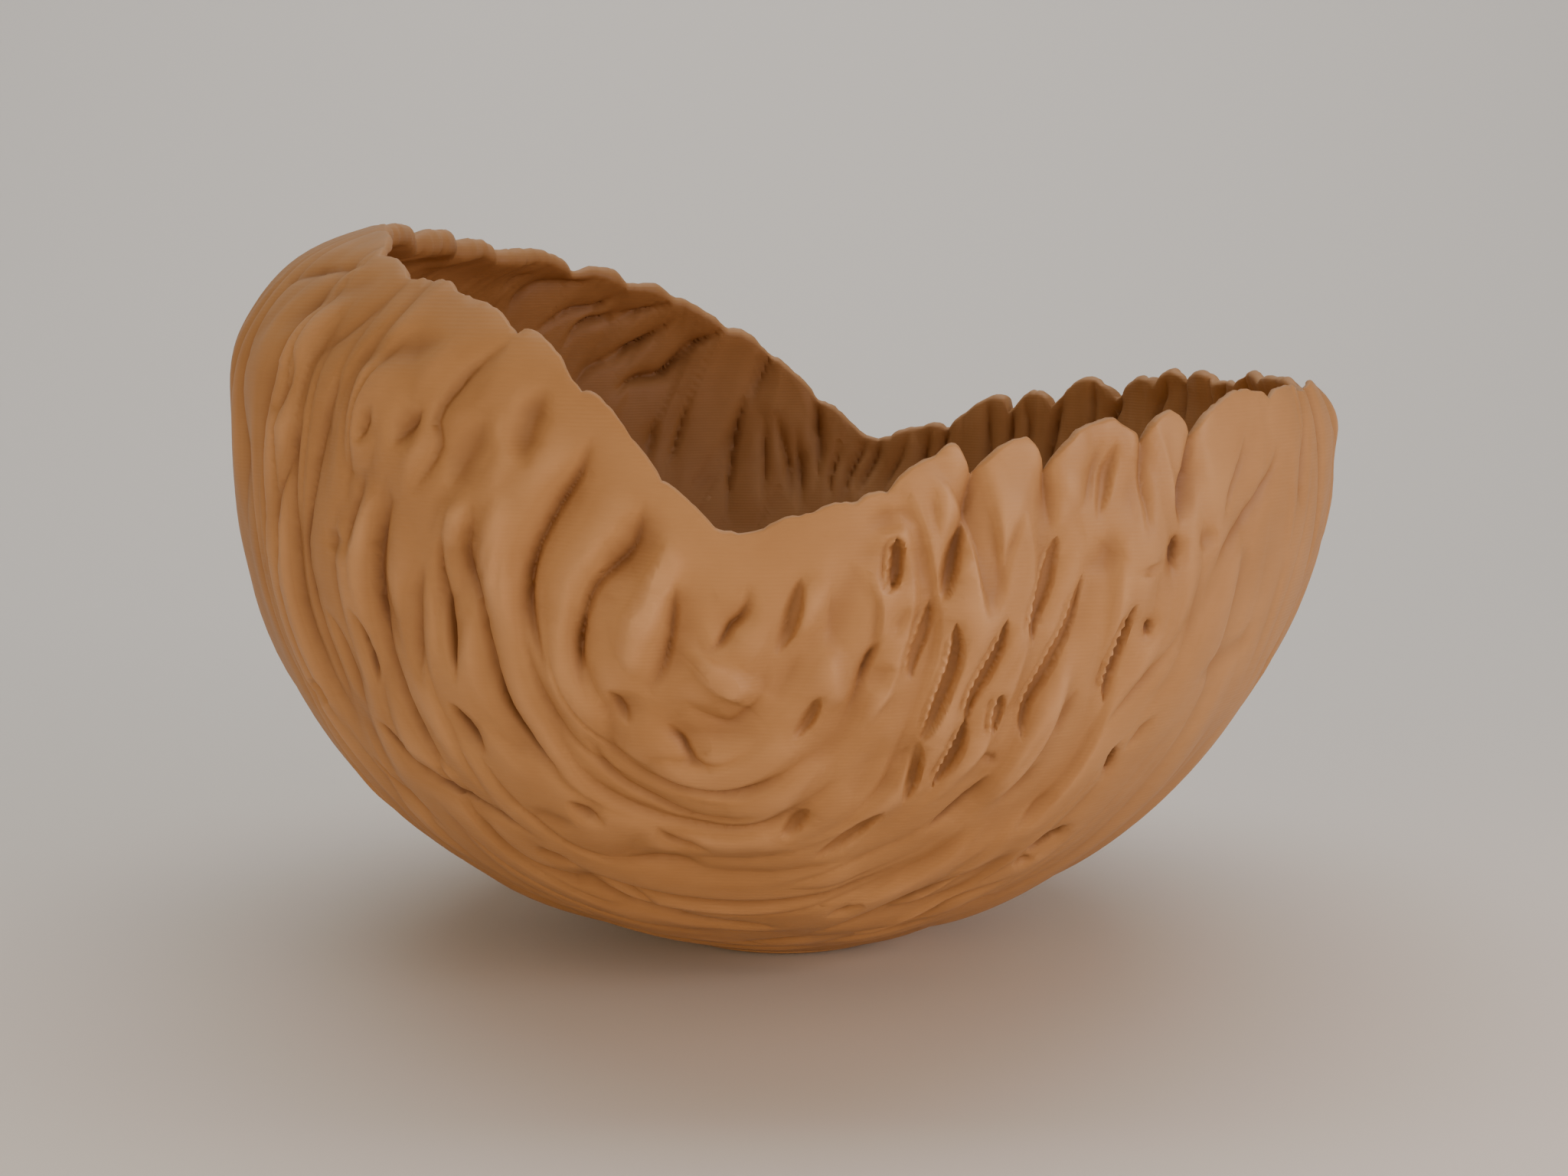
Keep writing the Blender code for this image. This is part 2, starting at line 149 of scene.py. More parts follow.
# Folds of the outer wall that end in a sharp crease: depth, then how far the fold's left and right flanks
# reach, in mm, and the crease's line in the photograph's pixels.
CREASES = (
    # Tall lobe
    (1.8, 4.0, 8.0, ((498, 341), (425, 347), (365, 368))),
    (1.7, 4.0, 7.0, ((531, 366), (505, 380), (460, 415), (405, 455), (390, 480))),
    (2.4, 5.0, 5.0, ((380, 445), (375, 480), (362, 515), (345, 548))),
    (2.5, 4.5, 5.0, ((678, 443), (640, 463), (605, 490), (575, 525), (565, 550), (568, 578), (558, 605),
                     (540, 632), (522, 665))),
    (2.6, 4.0, 4.0, ((555, 522), (540, 542), (518, 568), (505, 590))),
    (3.4, 4.5, 4.5, ((445, 475), (428, 498), (410, 540), (392, 635), (384, 710), (393, 770), (412, 840),
                     (455, 945))),
    (3.0, 4.5, 4.5, ((388, 530), (365, 600), (352, 670), (357, 720), (360, 760))),
    (2.2, 2.5, 2.5, ((485, 522), (470, 555), (455, 585))),
    # Left of the front saddle
    (3.0, 3.5, 4.0, ((405, 780), (430, 840), (458, 910), (480, 943))),
    (3.2, 3.5, 3.5, ((445, 785), (463, 840), (487, 907))),
    (3.2, 4.0, 3.5, ((468, 610), (455, 650), (441, 695), (442, 745))),
    (4.0, 4.0, 4.5, ((497, 620), (497, 655), (477, 725), (480, 790), (497, 870), (525, 930), (570, 995),
                     (605, 1025))),
    (3.2, 4.0, 3.0, ((548, 720), (532, 790), (540, 880), (560, 915))),
    (4.2, 3.0, 5.0, ((568, 682), (563, 745), (573, 810), (586, 870), (595, 905))),
    (3.6, 4.0, 3.0, ((580, 915), (600, 950), (635, 995))),
    (4.4, 5.5, 3.5, ((618, 640), (610, 690), (600, 735), (617, 790), (635, 865), (655, 925), (690, 975),
                     (743, 1030))),
    (2.2, 3.0, 3.0, ((400, 885), (410, 900), (428, 925))),
    (2.4, 3.5, 4.0, ((480, 943), (495, 950), (530, 995), (570, 1023), (628, 1060), (668, 1078),
                     (708, 1101))),
    (3.0, 3.5, 3.5, ((470, 980), (515, 1030), (580, 1085))),
    # Under the front saddle
    (4.4, 4.0, 8.0, ((775, 555), (758, 610), (722, 665), (692, 725), (683, 770), (688, 820), (717, 900))),
    (4.0, 4.0, 7.0, ((845, 640), (825, 715), (772, 770), (752, 835), (753, 885), (768, 930))),
    (3.0, 3.5, 6.5, ((882, 730), (880, 780), (867, 865), (835, 920))),
    (3.0, 3.0, 4.0, ((790, 900), (808, 930), (822, 955))),
    (2.2, 5.0, 2.5, ((974, 755), (977, 785), (969, 806), (954, 818), (947, 832), (938, 844), (915, 858))),
    (1.9, 3.0, 5.0, ((1002, 860), (998, 899), (986, 923), (971, 938), (952, 952), (930, 945), (905, 930),
                     (892, 905))),
    (2.4, 3.0, 4.0, ((860, 945), (885, 971), (897, 988), (909, 1002), (940, 1012))),
    (4.0, 5.5, 6.0, ((755, 950), (790, 1015), (840, 1050), (900, 1078), (960, 1079), (1005, 1062))),
    # Towards the foot
    (2.4, 2.0, 3.5, ((737, 1045), (762, 1065), (792, 1082))),
    (2.6, 2.2, 3.0, ((695, 1105), (725, 1127), (760, 1145))),
    (3.6, 2.2, 3.5, ((740, 1145), (800, 1178), (860, 1197), (925, 1211), (1000, 1213), (1030, 1211))),
    (2.2, 2.0, 2.5, ((770, 1150), (815, 1172), (870, 1196))),
    (2.0, 2.0, 3.5, ((800, 1120), (820, 1130), (870, 1136), (930, 1146))),
    (2.6, 2.5, 4.5, ((845, 1083), (880, 1110), (935, 1125))),
    (2.6, 2.5, 3.0, ((680, 1165), (750, 1192), (840, 1220), (960, 1235), (1070, 1227))),
    (2.8, 2.5, 3.0, ((1050, 1225), (1130, 1205), (1200, 1177), (1270, 1143), (1310, 1115))),
    (2.0, 2.2, 2.5, ((1100, 1226), (1185, 1208), (1250, 1178), (1330, 1142))),
    (1.6, 2.0, 2.0, ((1075, 1200), (1115, 1188), (1130, 1180))),
    (1.4, 2.0, 2.0, ((1320, 1135), (1355, 1122))),
    # Low lobe
    (1.2, 2.5, 2.5, ((1218, 630), (1222, 660), (1228, 690), (1236, 720))),
    (2.0, 3.0, 5.0, ((1350, 640), (1338, 680), (1320, 740), (1318, 795), (1324, 820))),
    (1.2, 1.5, 2.5, ((1197, 790), (1180, 820), (1170, 845))),
    (2.8, 1.5, 5.5, ((1162, 828), (1138, 870), (1122, 910), (1105, 955))),
    (2.0, 1.5, 2.5, ((1200, 985), (1180, 1005), (1163, 1025))),
    (1.3, 1.5, 1.5, ((1290, 990), (1295, 1000), (1305, 1003), (1315, 1000))),
    (3.2, 1.5, 5.0, ((1310, 1015), (1280, 1045), (1250, 1072), (1208, 1103))),
    (2.2, 2.0, 3.5, ((1195, 934), (1182, 981), (1155, 1043), (1100, 1084))),
    (1.3, 2.5, 2.5, ((1375, 1000), (1330, 1045), (1300, 1065))),
    (1.3, 2.5, 2.5, ((1390, 1030), (1340, 1080), (1320, 1095))),
    (1.6, 2.0, 3.0, ((1420, 900), (1400, 940), (1382, 980))),
    (1.6, 2.0, 3.5, ((1444, 570), (1438, 610), (1432, 640), (1422, 680))),
    (2.0, 2.5, 2.5, ((1500, 530), (1498, 580), (1500, 630), (1504, 680), (1500, 720))),
    (1.6, 2.0, 3.0, ((1630, 555), (1628, 600), (1612, 650), (1597, 695))),
    (2.0, 2.5, 4.0, ((1670, 560), (1668, 610), (1640, 670), (1600, 730), (1583, 765))),
    (1.2, 2.5, 2.5, ((1710, 530), (1705, 600), (1700, 680))),
    (1.2, 2.5, 2.5, ((1560, 800), (1530, 855), (1470, 925), (1415, 985))),
    (1.2, 2.5, 2.5, ((1515, 930), (1480, 975), (1465, 990))),
    (2.6, 3.0, 3.0, ((1285, 550), (1277, 612), (1265, 680), (1252, 735), (1240, 790))),
    (2.4, 2.5, 2.5, ((1374, 550), (1372, 618), (1378, 670), (1390, 715))),
    (2.2, 2.5, 2.5, ((1566, 520), (1563, 575), (1560, 612), (1554, 655), (1546, 705))),
)

# Thin slits where creases close, with shade painted dark along them: depth in mm, and the line.
SLITS = (
    (1.3, ((485, 941), (505, 962), (530, 992), (556, 1016))),
    (1.5, ((553, 1015), (590, 1038), (628, 1058), (668, 1078), (708, 1098))),
    (0.7, ((563, 770), (573, 810), (584, 860), (592, 900))),
    (0.9, ((454, 804), (465, 845), (485, 910))),
    (0.9, ((640, 880), (655, 925), (690, 975), (735, 1020))),
    (0.7, ((584, 916), (600, 950), (630, 988))),
    (0.3, ((700, 712), (684, 765), (687, 815))),
    (0.3, ((760, 800), (752, 840), (754, 885))),
    (0.4, ((478, 725), (480, 790), (495, 860))),
    (0.7, ((390, 650), (384, 710), (392, 765), (410, 830))),
    (0.4, ((976, 788), (966, 808), (950, 825), (936, 845), (914, 853))),
    (0.3, ((866, 955), (886, 974), (898, 990), (912, 1003))),
    (0.3, ((1160, 832), (1138, 870), (1118, 912))),
    (0.7, ((1300, 1022), (1257, 1063), (1209, 1104))),
    (0.7, ((800, 1178), (860, 1196), (925, 1210), (1000, 1212))),
    (0.6, ((1150, 1200), (1200, 1177), (1270, 1143))),
)

# Soft hollows of the outer wall: depth and half width in mm, and the line.
HOLLOWS = (
    (1.2, 3.0, ((510, 352), (435, 378), (380, 408), (342, 455))),
    (1.0, 2.5, ((600, 440), (520, 452), (445, 470))),
    (1.3, 3.0, ((640, 530), (615, 575), (598, 612), (583, 650))),
    (1.6, 2.5, ((720, 500), (698, 530), (683, 570), (680, 620))),
    (0.8, 2.5, ((425, 690), (424, 730))),
    (1.5, 3.0, ((1120, 740), (1096, 789), (1072, 827), (1053, 856), (1038, 880), (1014, 918), (980, 960))),
    (1.8, 3.0, ((1140, 890), (1115, 928), (1086, 971), (1062, 995), (1020, 1020))),
    (0.9, 3.0, ((840, 660), (832, 688), (798, 736), (778, 760))),
    (1.0, 2.5, ((1165, 655), (1168, 705))),
    (1.0, 2.5, ((1160, 870), (1155, 920))),
    (1.2, 2.5, ((1165, 960), (1150, 995), (1125, 1045), (1100, 1072))),
    (0.9, 2.5, ((1465, 700), (1452, 730), (1447, 765))),
    (1.0, 2.5, ((1563, 590), (1563, 630), (1547, 690))),
    (0.8, 2.0, ((1595, 690), (1570, 720))),
    (0.7, 2.0, ((1510, 735), (1508, 755))),
    (0.9, 2.5, ((1645, 800), (1625, 845), (1580, 880), (1555, 900))),
    (0.8, 2.0, ((680, 1055), (720, 1072), (760, 1085))),
    (0.8, 2.0, ((1235, 1195), (1285, 1178), (1310, 1168))),
    (1.1, 3.0, ((1288, 540), (1277, 615), (1265, 690), (1242, 780), (1222, 860), (1190, 950), (1150, 1030))),
    (1.1, 3.0, ((1376, 550), (1373, 618), (1362, 690), (1342, 780), (1312, 860), (1270, 950), (1215, 1050))),
    (1.1, 3.0, ((1502, 510), (1498, 580), (1480, 660), (1450, 750), (1420, 830), (1380, 900), (1330, 980))),
    (0.9, 3.0, ((1566, 510), (1562, 582), (1555, 660), (1530, 750), (1490, 840), (1440, 930), (1380, 1010))),
    (0.9, 2.5, ((1442, 540), (1432, 600), (1415, 680), (1385, 760), (1355, 850), (1318, 930), (1262, 1020))),
    (1.1, 3.0, ((1232, 580), (1222, 640), (1205, 720), (1180, 800), (1150, 880), (1110, 960), (1060, 1040))),
    (1.0, 3.0, ((1156, 610), (1150, 660), (1130, 740), (1095, 820), (1050, 900))),
    (0.8, 3.0, ((1646, 500), (1640, 565), (1630, 660), (1600, 740), (1550, 830), (1490, 920))),
)

# Slots pressed into the low lobe's side: depth and width in mm, the kind, and the line. A square one is
# beaded too, and its ends are blunt.
PLAIN, BEADED, SQUARE = range(3)
SLOTS = (
    (1.3, 3.6, PLAIN, ((1045, 755), (1034, 798), (1024, 832), (1012, 860))),
    (1.3, 3.2, PLAIN, ((1070, 915), (1053, 947), (1036, 972))),
    (1.6, 3.6, PLAIN, ((1055, 1070), (1040, 1085), (1020, 1105))),
    (2.0, 3.4, SQUARE, ((1172, 716), (1170, 740), (1168, 764))),
    (2.0, 3.6, PLAIN, ((1262, 690), (1248, 730), (1240, 770), (1235, 795))),
    (2.2, 4.0, BEADED, ((1392, 706), (1382, 750), (1370, 790), (1358, 825), (1360, 845))),
    (2.0, 3.4, BEADED, ((1427, 760), (1408, 825), (1385, 870), (1350, 930), (1340, 968))),
    (1.8, 3.2, BEADED, ((1322, 816), (1308, 860), (1275, 920), (1267, 955))),
    (2.2, 3.8, BEADED, ((1253, 820), (1250, 870), (1228, 930), (1208, 980))),
    (2.0, 3.2, PLAIN, ((1205, 980), (1195, 1025), (1183, 1060))),
    (2.0, 3.4, BEADED, ((1268, 952), (1250, 995), (1223, 1036))),
    (1.6, 3.0, BEADED, ((1315, 916), (1308, 940), (1302, 970))),
    (1.9, 3.4, BEADED, ((1221, 796), (1210, 835), (1195, 878), (1196, 900))),
    (1.8, 3.6, PLAIN, ((1155, 1072), (1115, 1102), (1065, 1134))),
    (1.8, 3.0, BEADED, ((1487, 794), (1473, 840), (1458, 885), (1450, 922))),
    (1.2, 3.4, PLAIN, ((1462, 575), (1452, 620), (1443, 680))),
    (1.4, 1.8, PLAIN, ((1547, 700), (1543, 720), (1540, 744))),
    (1.2, 1.8, PLAIN, ((1509, 814), (1506, 836))),
    (2.0, 2.4, PLAIN, ((1394, 1082), (1375, 1098), (1345, 1120))),
    (1.4, 1.6, PLAIN, ((1460, 980), (1454, 998), (1447, 1014))),
)

# Raised folds of the outer wall: height and half width in mm, and the line.
RAISED = (
    (0.8, 3.0, ((655, 580), (645, 680), (652, 780), (668, 870))),
    (0.8, 2.5, ((870, 710), (852, 790), (840, 860))),
    (0.8, 2.4, ((480, 620), (468, 680), (458, 740))),
    (0.9, 6.0, ((965, 870), (945, 895), (930, 910))),
    (0.7, 2.2, ((868, 690), (873, 745), (860, 790))),
    (0.6, 2.0, ((832, 775), (822, 830), (818, 900))),
    (0.6, 2.0, ((1062, 755), (1060, 800), (1045, 850))),
    (0.8, 3.0, ((600, 640), (590, 690), (585, 740))),
)

# Creases of the inner wall, seen over the front rim: depth and flank in mm, and the line.
INNER_CREASES = (
    # Leaning ones inside the tall lobe
    (1.6, 3.0, ((775, 352), (757, 365), (729, 368), (697, 374), (671, 390), (650, 420))),
    (1.4, 2.2, ((815, 370), (799, 381), (774, 397), (742, 403), (710, 419), (680, 440))),
    (1.6, 1.6, ((890, 380), (876, 390), (844, 400), (806, 410), (758, 419), (735, 442), (720, 466))),
    (1.7, 1.6, ((890, 405), (876, 416), (838, 442), (799, 461), (764, 480), (745, 505))),
    (1.7, 1.6, ((955, 412), (934, 432), (902, 451), (876, 474), (857, 488), (825, 493), (806, 506),
                (786, 530))),
    (0.9, 2.0, ((700, 350), (670, 362), (645, 385))),
    # Upright ones in the middle
    (0.8, 3.0, ((1015, 430), (1004, 467), (985, 512), (978, 544))),
    (1.2, 2.2, ((985, 500), (969, 531), (959, 576), (953, 621), (946, 690))),
    (0.9, 2.4, ((905, 500), (895, 531), (882, 576), (862, 630))),
    (0.8, 2.0, ((855, 540), (848, 580), (838, 610))),
    (0.9, 1.8, ((1002, 530), (998, 576), (998, 621), (990, 670))),
    (1.0, 1.6, ((1012, 530), (1020, 570), (1030, 608), (1032, 660))),
    (0.9, 1.6, ((1040, 545), (1042, 589), (1046, 627), (1042, 680))),
    (1.2, 1.6, ((1060, 500), (1068, 550), (1071, 595), (1062, 650))),
    (0.9, 1.4, ((1102, 550), (1097, 589), (1087, 621), (1080, 665))),
    (0.9, 1.4, ((1136, 555), (1126, 589), (1110, 621), (1098, 665))),
    (0.9, 1.4, ((1156, 555), (1145, 595), (1132, 621), (1116, 660))),
    (0.9, 1.4, ((1190, 555), (1177, 595), (1164, 621), (1148, 655))),
    (0.9, 1.4, ((1216, 545), (1209, 595), (1190, 640))),
    # Between the fingers of the low lobe
    (1.3, 1.8, ((1246, 530), (1238, 566), (1227, 600), (1215, 640))),
    (1.1, 1.8, ((1296, 500), (1294, 541), (1292, 608), (1280, 660))),
    (1.4, 1.8, ((1328, 510), (1325, 546), (1322, 574), (1312, 640))),
    (1.0, 1.8, ((1345, 500), (1345, 535), (1348, 569), (1340, 640))),
    (1.4, 1.8, ((1390, 500), (1387, 535), (1384, 546), (1375, 590), (1365, 650))),
    (1.1, 1.8, ((1432, 475), (1431, 513), (1429, 552), (1420, 610))),
    (1.4, 1.8, ((1468, 495), (1464, 530), (1454, 552), (1445, 610))),
    (1.4, 1.8, ((1532, 480), (1527, 513), (1518, 541), (1508, 600))),
    (1.0, 1.8, ((1553, 465), (1552, 502), (1552, 524), (1545, 580))),
    (1.3, 1.8, ((1610, 470), (1608, 500), (1605, 520), (1598, 570))),
    (1.3, 1.8, ((1645, 460), (1642, 490), (1640, 505), (1632, 560))),
)

# Folds that flow round the front saddle between the drawn ones: how far they drift from circles round the
# axis through both saddles, about where and over what spread, and their depth in mm. Main and fine ones have
# so many to a radian across the flow and along it.
FLOW_DRIFT = math.radians(28)
FLOW_MIDDLE = math.radians(5)
FLOW_SPREAD_LEFT = math.radians(70)
FLOW_SPREAD_RIGHT = math.radians(110)
FLOW_DEPTH = 2.9
FLOW_MAIN = (12, 1.6)
FLOW_FINE = (22, 2.4)
FLOW_FINE_SHARE = 0.3

# Short hollows on the low lobe's side: how far they lean across that flow, their depth in mm, and how many
# there are to a radian across it and along it.
LEAN = 0.25
LEAN_DEPTH = 2.2
LEAN_MANY = (18, 2.4)

# Flutes of the inner wall: depth in mm, how far they lean over at the tall lobe, in radians round the axis
# for each bowl radius of reach, and the lengths of the main and fine ones. They run out towards the foot.
FLUTE_DEPTH = 0.9
FLUTE_LEAN = 0.7
FLUTE_LENGTH = 55 * MM
FINE_FLUTE_LENGTH = 30 * MM
FINE_FLUTE_SHARE = 0.35
FLUTE_RUN_OUT = 50 * MM

# Ripples where the camera doesn't see the wall: their depth, and what share of them and of the flowing folds
# the outside and the inside have there. Both run out towards the foot.
RIPPLE_DEPTH = 2.2 * MM
RIPPLE_RUN_OUT = 22 * MM
FLOW_RUN_OUT = 10 * MM
HIDDEN_RIPPLES = 0.7
HIDDEN_FOLDS = 0.8
HIDDEN_INNER_RIPPLES = 0.5

# How strokes are cut: the most that the outer wall is pressed in and raised, how strong each kind is next to
# its table, and how wide a crease's flanks are next to theirs.
DEEPEST = 6.0 * MM
HIGHEST = 0.8 * MM
HOLLOW_RELIEF = 1.3
RAISED_RELIEF = 1.5
SLOT_RELIEF = 1.5
INNER_RELIEF = 1.8
FLANK_WIDTH = 1.4
INNER_FLANK_WIDTH = 1.4
INNER_FLANK_LEAST = 0.4

# How far round its line a stroke is worked out, next to its width, and the share of that where it starts to
# fade.
CREASE_MARGIN = 1.5
SLIT_MARGIN = 5
HOLLOW_MARGIN = 3
SLOT_MARGIN = 1.5
INNER_MARGIN = 2.5
MARGIN_FADE = 0.7

# The sharp line at the bottom of a crease: the share of the depth that it makes, outside and inside, its
# half width in mm, and the mm over which a crease runs out. Then a slit's half width in mm.
CREASE_LINE = 0.32
INNER_CREASE_LINE = 0.45
CREASE_LINE_WIDTH = 0.7
CREASE_RUN_OUT = 14
SLIT_WIDTH = 0.5

# Round a slot: the soft groove that it lies in, as a share of its depth, which runs on past its ends by a
# share of its end stretches, and the fine groove outside its left edge, in mm. A square slot's ends are
# those of a pointed one, to a power.
GROOVE_SHARE = 0.8
GROOVE_RUN_ON = 0.8
EDGE_GROOVE = 0.8
EDGE_GROOVE_OUT = 0.85
EDGE_GROOVE_WIDTH = 0.38
SQUARENESS = 0.2

# Beads along a slot, in mm. They are drawn coarser than the real ones so that they show.
BEAD_STEP = 1.7
BEAD_HEIGHT = 1.1
BEAD_WIDTH = 0.42

# Passes of blur with which the inner wall follows the outer one, and more where the camera doesn't see it.
INNER_BLUR = 60
HIDDEN_BLUR = 40

# How much shade is painted on a point for lying in a fold: passes of blur that a fold and a narrow crease
# are measured from, how much a crease and a slit add, and how much a fold of the inner wall counts.
FOLD_BLUR = 110
CREASE_BLUR = 12
CREASE_SHADE_WEIGHT = 0.7
SLIT_PAINTED_SHADE = 2.2
INNER_PAINTED_SHADE = 0.5

# Fineness of the shell before it is thinned out, with its segments crowded together at the front, and of the
# pad. Then the angles past which shading is sharp.
SEGMENTS = 1150
RECESS_ROWS = 6
OUTER_ROWS = 340
RIM_ROWS = 7
INNER_ROWS = 280
FLOOR_ROWS = 6
FRONT_BIAS = 0.45
FRONT_MIDDLE = math.radians(-72)
SHELL_TRIANGLES = 196000
MERGE_DISTANCE = 0.01 * MM
PAD_SIDES = 96
PAD_EDGE_STEPS = 3
SHELL_SHARP_ANGLE = math.radians(60)
PAD_SHARP_ANGLE = math.radians(40)

# Noise that goes right round the bowl takes azimuths times a whole number of rings.
NOISE_SIZE = 64
RING = NOISE_SIZE / (2 * math.pi)


def smooth_step(low, high, value):
    share = np.clip((value - low) / (high - low), 0, 1)
    return share * share * (3 - 2 * share)


def noise(x, y, seed):
    """Smooth seeded noise from -1 to 1, with one bump to each unit of x and y."""
    table = np.random.default_rng(seed).uniform(-1, 1, (NOISE_SIZE, NOISE_SIZE))
    column, row = np.floor(x).astype(int), np.floor(y).astype(int)
    across, up = x - column, y - row
    across, up = across * across * (3 - 2 * across), up * up * (3 - 2 * up)
    corner = [[table[(row + j) % NOISE_SIZE, (column + i) % NOISE_SIZE] for i in (0, 1)] for j in (0, 1)]
    low = corner[0][0] * (1 - across) + corner[0][1] * across
    high = corner[1][0] * (1 - across) + corner[1][1] * across
    return low * (1 - up) + high * up


def noise_creases(x, y, width, seed):
    """Creases where the noise passes through zero: 1 along them, falling to 0 where it reaches a width."""
    return 1 - np.minimum(np.abs(noise(x, y, seed)) / width, 1)


def drawn_in(azimuth, reach):
    """How far the wall lies inside its sphere and shoulder arc; it is negative where the wall swells out."""
    share = np.clip(reach / FOOT_REACH, 0, 1)
    side = np.sin(math.pi * share) ** 2 * (SIDE_DRAW * np.cos(azimuth - SIDE_DRAW_TOWARDS) - SIDE_SWELL)
    turned = np.arccos(np.cos(azimuth - SHOULDER_SWELL_TOWARDS)) / SHOULDER_SWELL_SPREAD
    shoulder = smooth_step(0, SHOULDER_SWELL_FULL, reach)
    shoulder = shoulder * smooth_step(SHOULDER_SWELL_END, SHOULDER_SWELL_EASE, reach) * np.exp(-turned ** 2)
    return FOOT_DRAW * smooth_step(0, 1, share) + side - SHOULDER_SWELL * shoulder


def wall_points(azimuth, reach, depth):
    """Points of the wall at a reach along it from the widest ring, pressed in by a depth."""
    bend = np.where(reach < 0, BOWL_RADIUS, SHOULDER_RADIUS)
    radius = bend - drawn_in(azimuth, reach) - depth
    out = BOWL_RADIUS - bend + radius * np.cos(reach / bend)
    rise = radius * np.sin(reach / bend)
    return np.stack([out * np.cos(azimuth), out * np.sin(azimuth), WIDEST_HEIGHT + rise], axis=-1)


def wall_normals(azimuth, reach):
    tilt = reach / np.where(reach < 0, BOWL_RADIUS, SHOULDER_RADIUS)
    return np.stack([np.cos(tilt) * np.cos(azimuth), np.cos(tilt) * np.sin(azimuth), np.sin(tilt)], axis=-1)


def wall_places(points):
    """Azimuth and reach of points near the wall, and how far inside the smooth outer wall they lie."""
    rise = points[..., 2] - WIDEST_HEIGHT
    bend = np.where(rise < 0, BOWL_RADIUS, SHOULDER_RADIUS)
    out = np.hypot(points[..., 0], points[..., 1]) - (BOWL_RADIUS - bend)
    azimuth = np.arctan2(points[..., 1], points[..., 0])
    reach = bend * np.arctan2(rise, out)
    return azimuth, reach, bend - drawn_in(azimuth, reach) - np.hypot(out, rise)


def camera_place():
    """Position of the camera, and its forward, right and up directions."""
    forward = np.array((0, math.cos(CAMERA_ELEVATION), -math.sin(CAMERA_ELEVATION)))
    right = np.array((1, 0, 0))
    return CAMERA_TARGET - CAMERA_DISTANCE * forward, forward, right, np.cross(right, forward)


def on_wall(pixels, inside):
    """Points where the photograph's pixels meet the front of the wall, or the back wall's inside."""
    position, forward, right, up = camera_place()
    offset = (np.asarray(pixels, float) - np.array(PHOTO_SIZE) / 2) / FOCAL_PIXELS
    rays = forward + offset[:, :1] * right - offset[:, 1:] * up
    rays /= np.linalg.norm(rays, axis=1, keepdims=True)
    distances = np.linspace(RAY_START, RAY_END, RAY_STEPS)
    points = position + distances[None, :, None] * rays[:, None, :]
    within = wall_places(points)[2]
    if inside:
        found = within.shape[1] - 1 - np.argmax(within[:, ::-1] > WALL, axis=1)
    else:
        found = np.argmax(within > 0, axis=1)
    hit = within.max(axis=1) > 0
    return points[np.arange(len(rays)), found][hit]


def smooth_line(points, steps=6):
    """A smooth line through given points."""
    points = np.asarray(points, float)
    padded = np.vstack([2 * points[0] - points[1], points, 2 * points[-1] - points[-2]])
    line = []
    for before, start, end, after in zip(padded, padded[1:], padded[2:], padded[3:]):
        for t in np.arange(steps) / steps:
            square = 2 * before - 5 * start + 4 * end - after
            cube = 3 * start - before - 3 * end + after
            line.append(0.5 * (2 * start + (end - before) * t + square * t ** 2 + cube * t ** 3))
    return np.array(line + [points[-1]])


def run_on(line):
    """A line run on past both of its ends by a share of its end stretches."""
    points = np.asarray(line, float)
    start = points[0] + GROOVE_RUN_ON * (points[0] - points[1])
    end = points[-1] + GROOVE_RUN_ON * (points[-1] - points[-2])
    return np.vstack([start, points, end])


class Wall:
    """A lattice of points on one side of the wall: rows run along it and columns round it."""

    def __init__(self, azimuth, rim, shares, thickness, outward):
        self.azimuth, self.rim, self.shares = azimuth, rim, shares
        self.turns = np.broadcast_to(azimuth, (len(shares), len(azimuth)))
        self.reach = FOOT_REACH + (rim - FOOT_REACH) * shares[:, None]
        self.points = wall_points(self.turns, self.reach, thickness)
        self.normals = outward * wall_normals(self.turns, self.reach)

    def block(self, ends_of_run, margin):
        """Rows and columns that lie within a margin of a short run."""
        low_turn = self.azimuth[0]
        azimuth, reach, _ = wall_places(ends_of_run)
        azimuth = low_turn + np.mod(azimuth - low_turn, 2 * math.pi)
        spread = margin / np.hypot(ends_of_run[:, 0], ends_of_run[:, 1]).min()
        first, last = np.searchsorted(self.azimuth, (azimuth.min() - spread, azimuth.max() + spread))
        columns = slice(max(first - 1, 0), last + 1)
        span = self.rim[columns] - FOOT_REACH
        low, high = (reach.min() - margin - FOOT_REACH) / span, (reach.max() + margin - FOOT_REACH) / span
        rows = np.nonzero((self.shares >= low.min()) & (self.shares <= high.max()))[0]
        return (slice(rows[0], rows[-1] + 1), columns) if len(rows) else None

    def stroke(self, pixels, margin, profile, inside=False):
        """Where a stroke's margin lies, and its profile there. A profile takes the mm to the stroke's right,
        the mm from its start and its length."""
        stroke = on_wall(smooth_line(pixels), inside)
        runs = np.diff(stroke, axis=0)
        lengths = np.linalg.norm(runs, axis=1)
        passed = np.concatenate([[0], np.cumsum(lengths)])
        nearest = np.full(self.turns.shape, margin)
        across, along = np.zeros(nearest.shape), np.zeros(nearest.shape)
        for start, run, length, before in zip(stroke, runs, lengths, passed):
            block = self.block(np.array([start, start + run]), margin)
            if block is None:
                continue
            offset = self.points[block] - start
            share = np.clip(offset @ run / length ** 2, 0, 1)
            offset = offset - share[..., None] * run
            distance = np.linalg.norm(offset, axis=-1)
            closer = distance < nearest[block]
            side = np.sign((offset * np.cross(self.normals[block], run)).sum(axis=-1))
            nearest[block] = np.where(closer, distance, nearest[block])
            across[block] = np.where(closer, side * distance, across[block])
            along[block] = np.where(closer, before + share * length, along[block])
        near = nearest < margin
        fade = 1 - smooth_step(MARGIN_FADE, 1, nearest[near] / margin)
        return near, profile(across[near] / MM, along[near] / MM, passed[-1] / MM) * fade


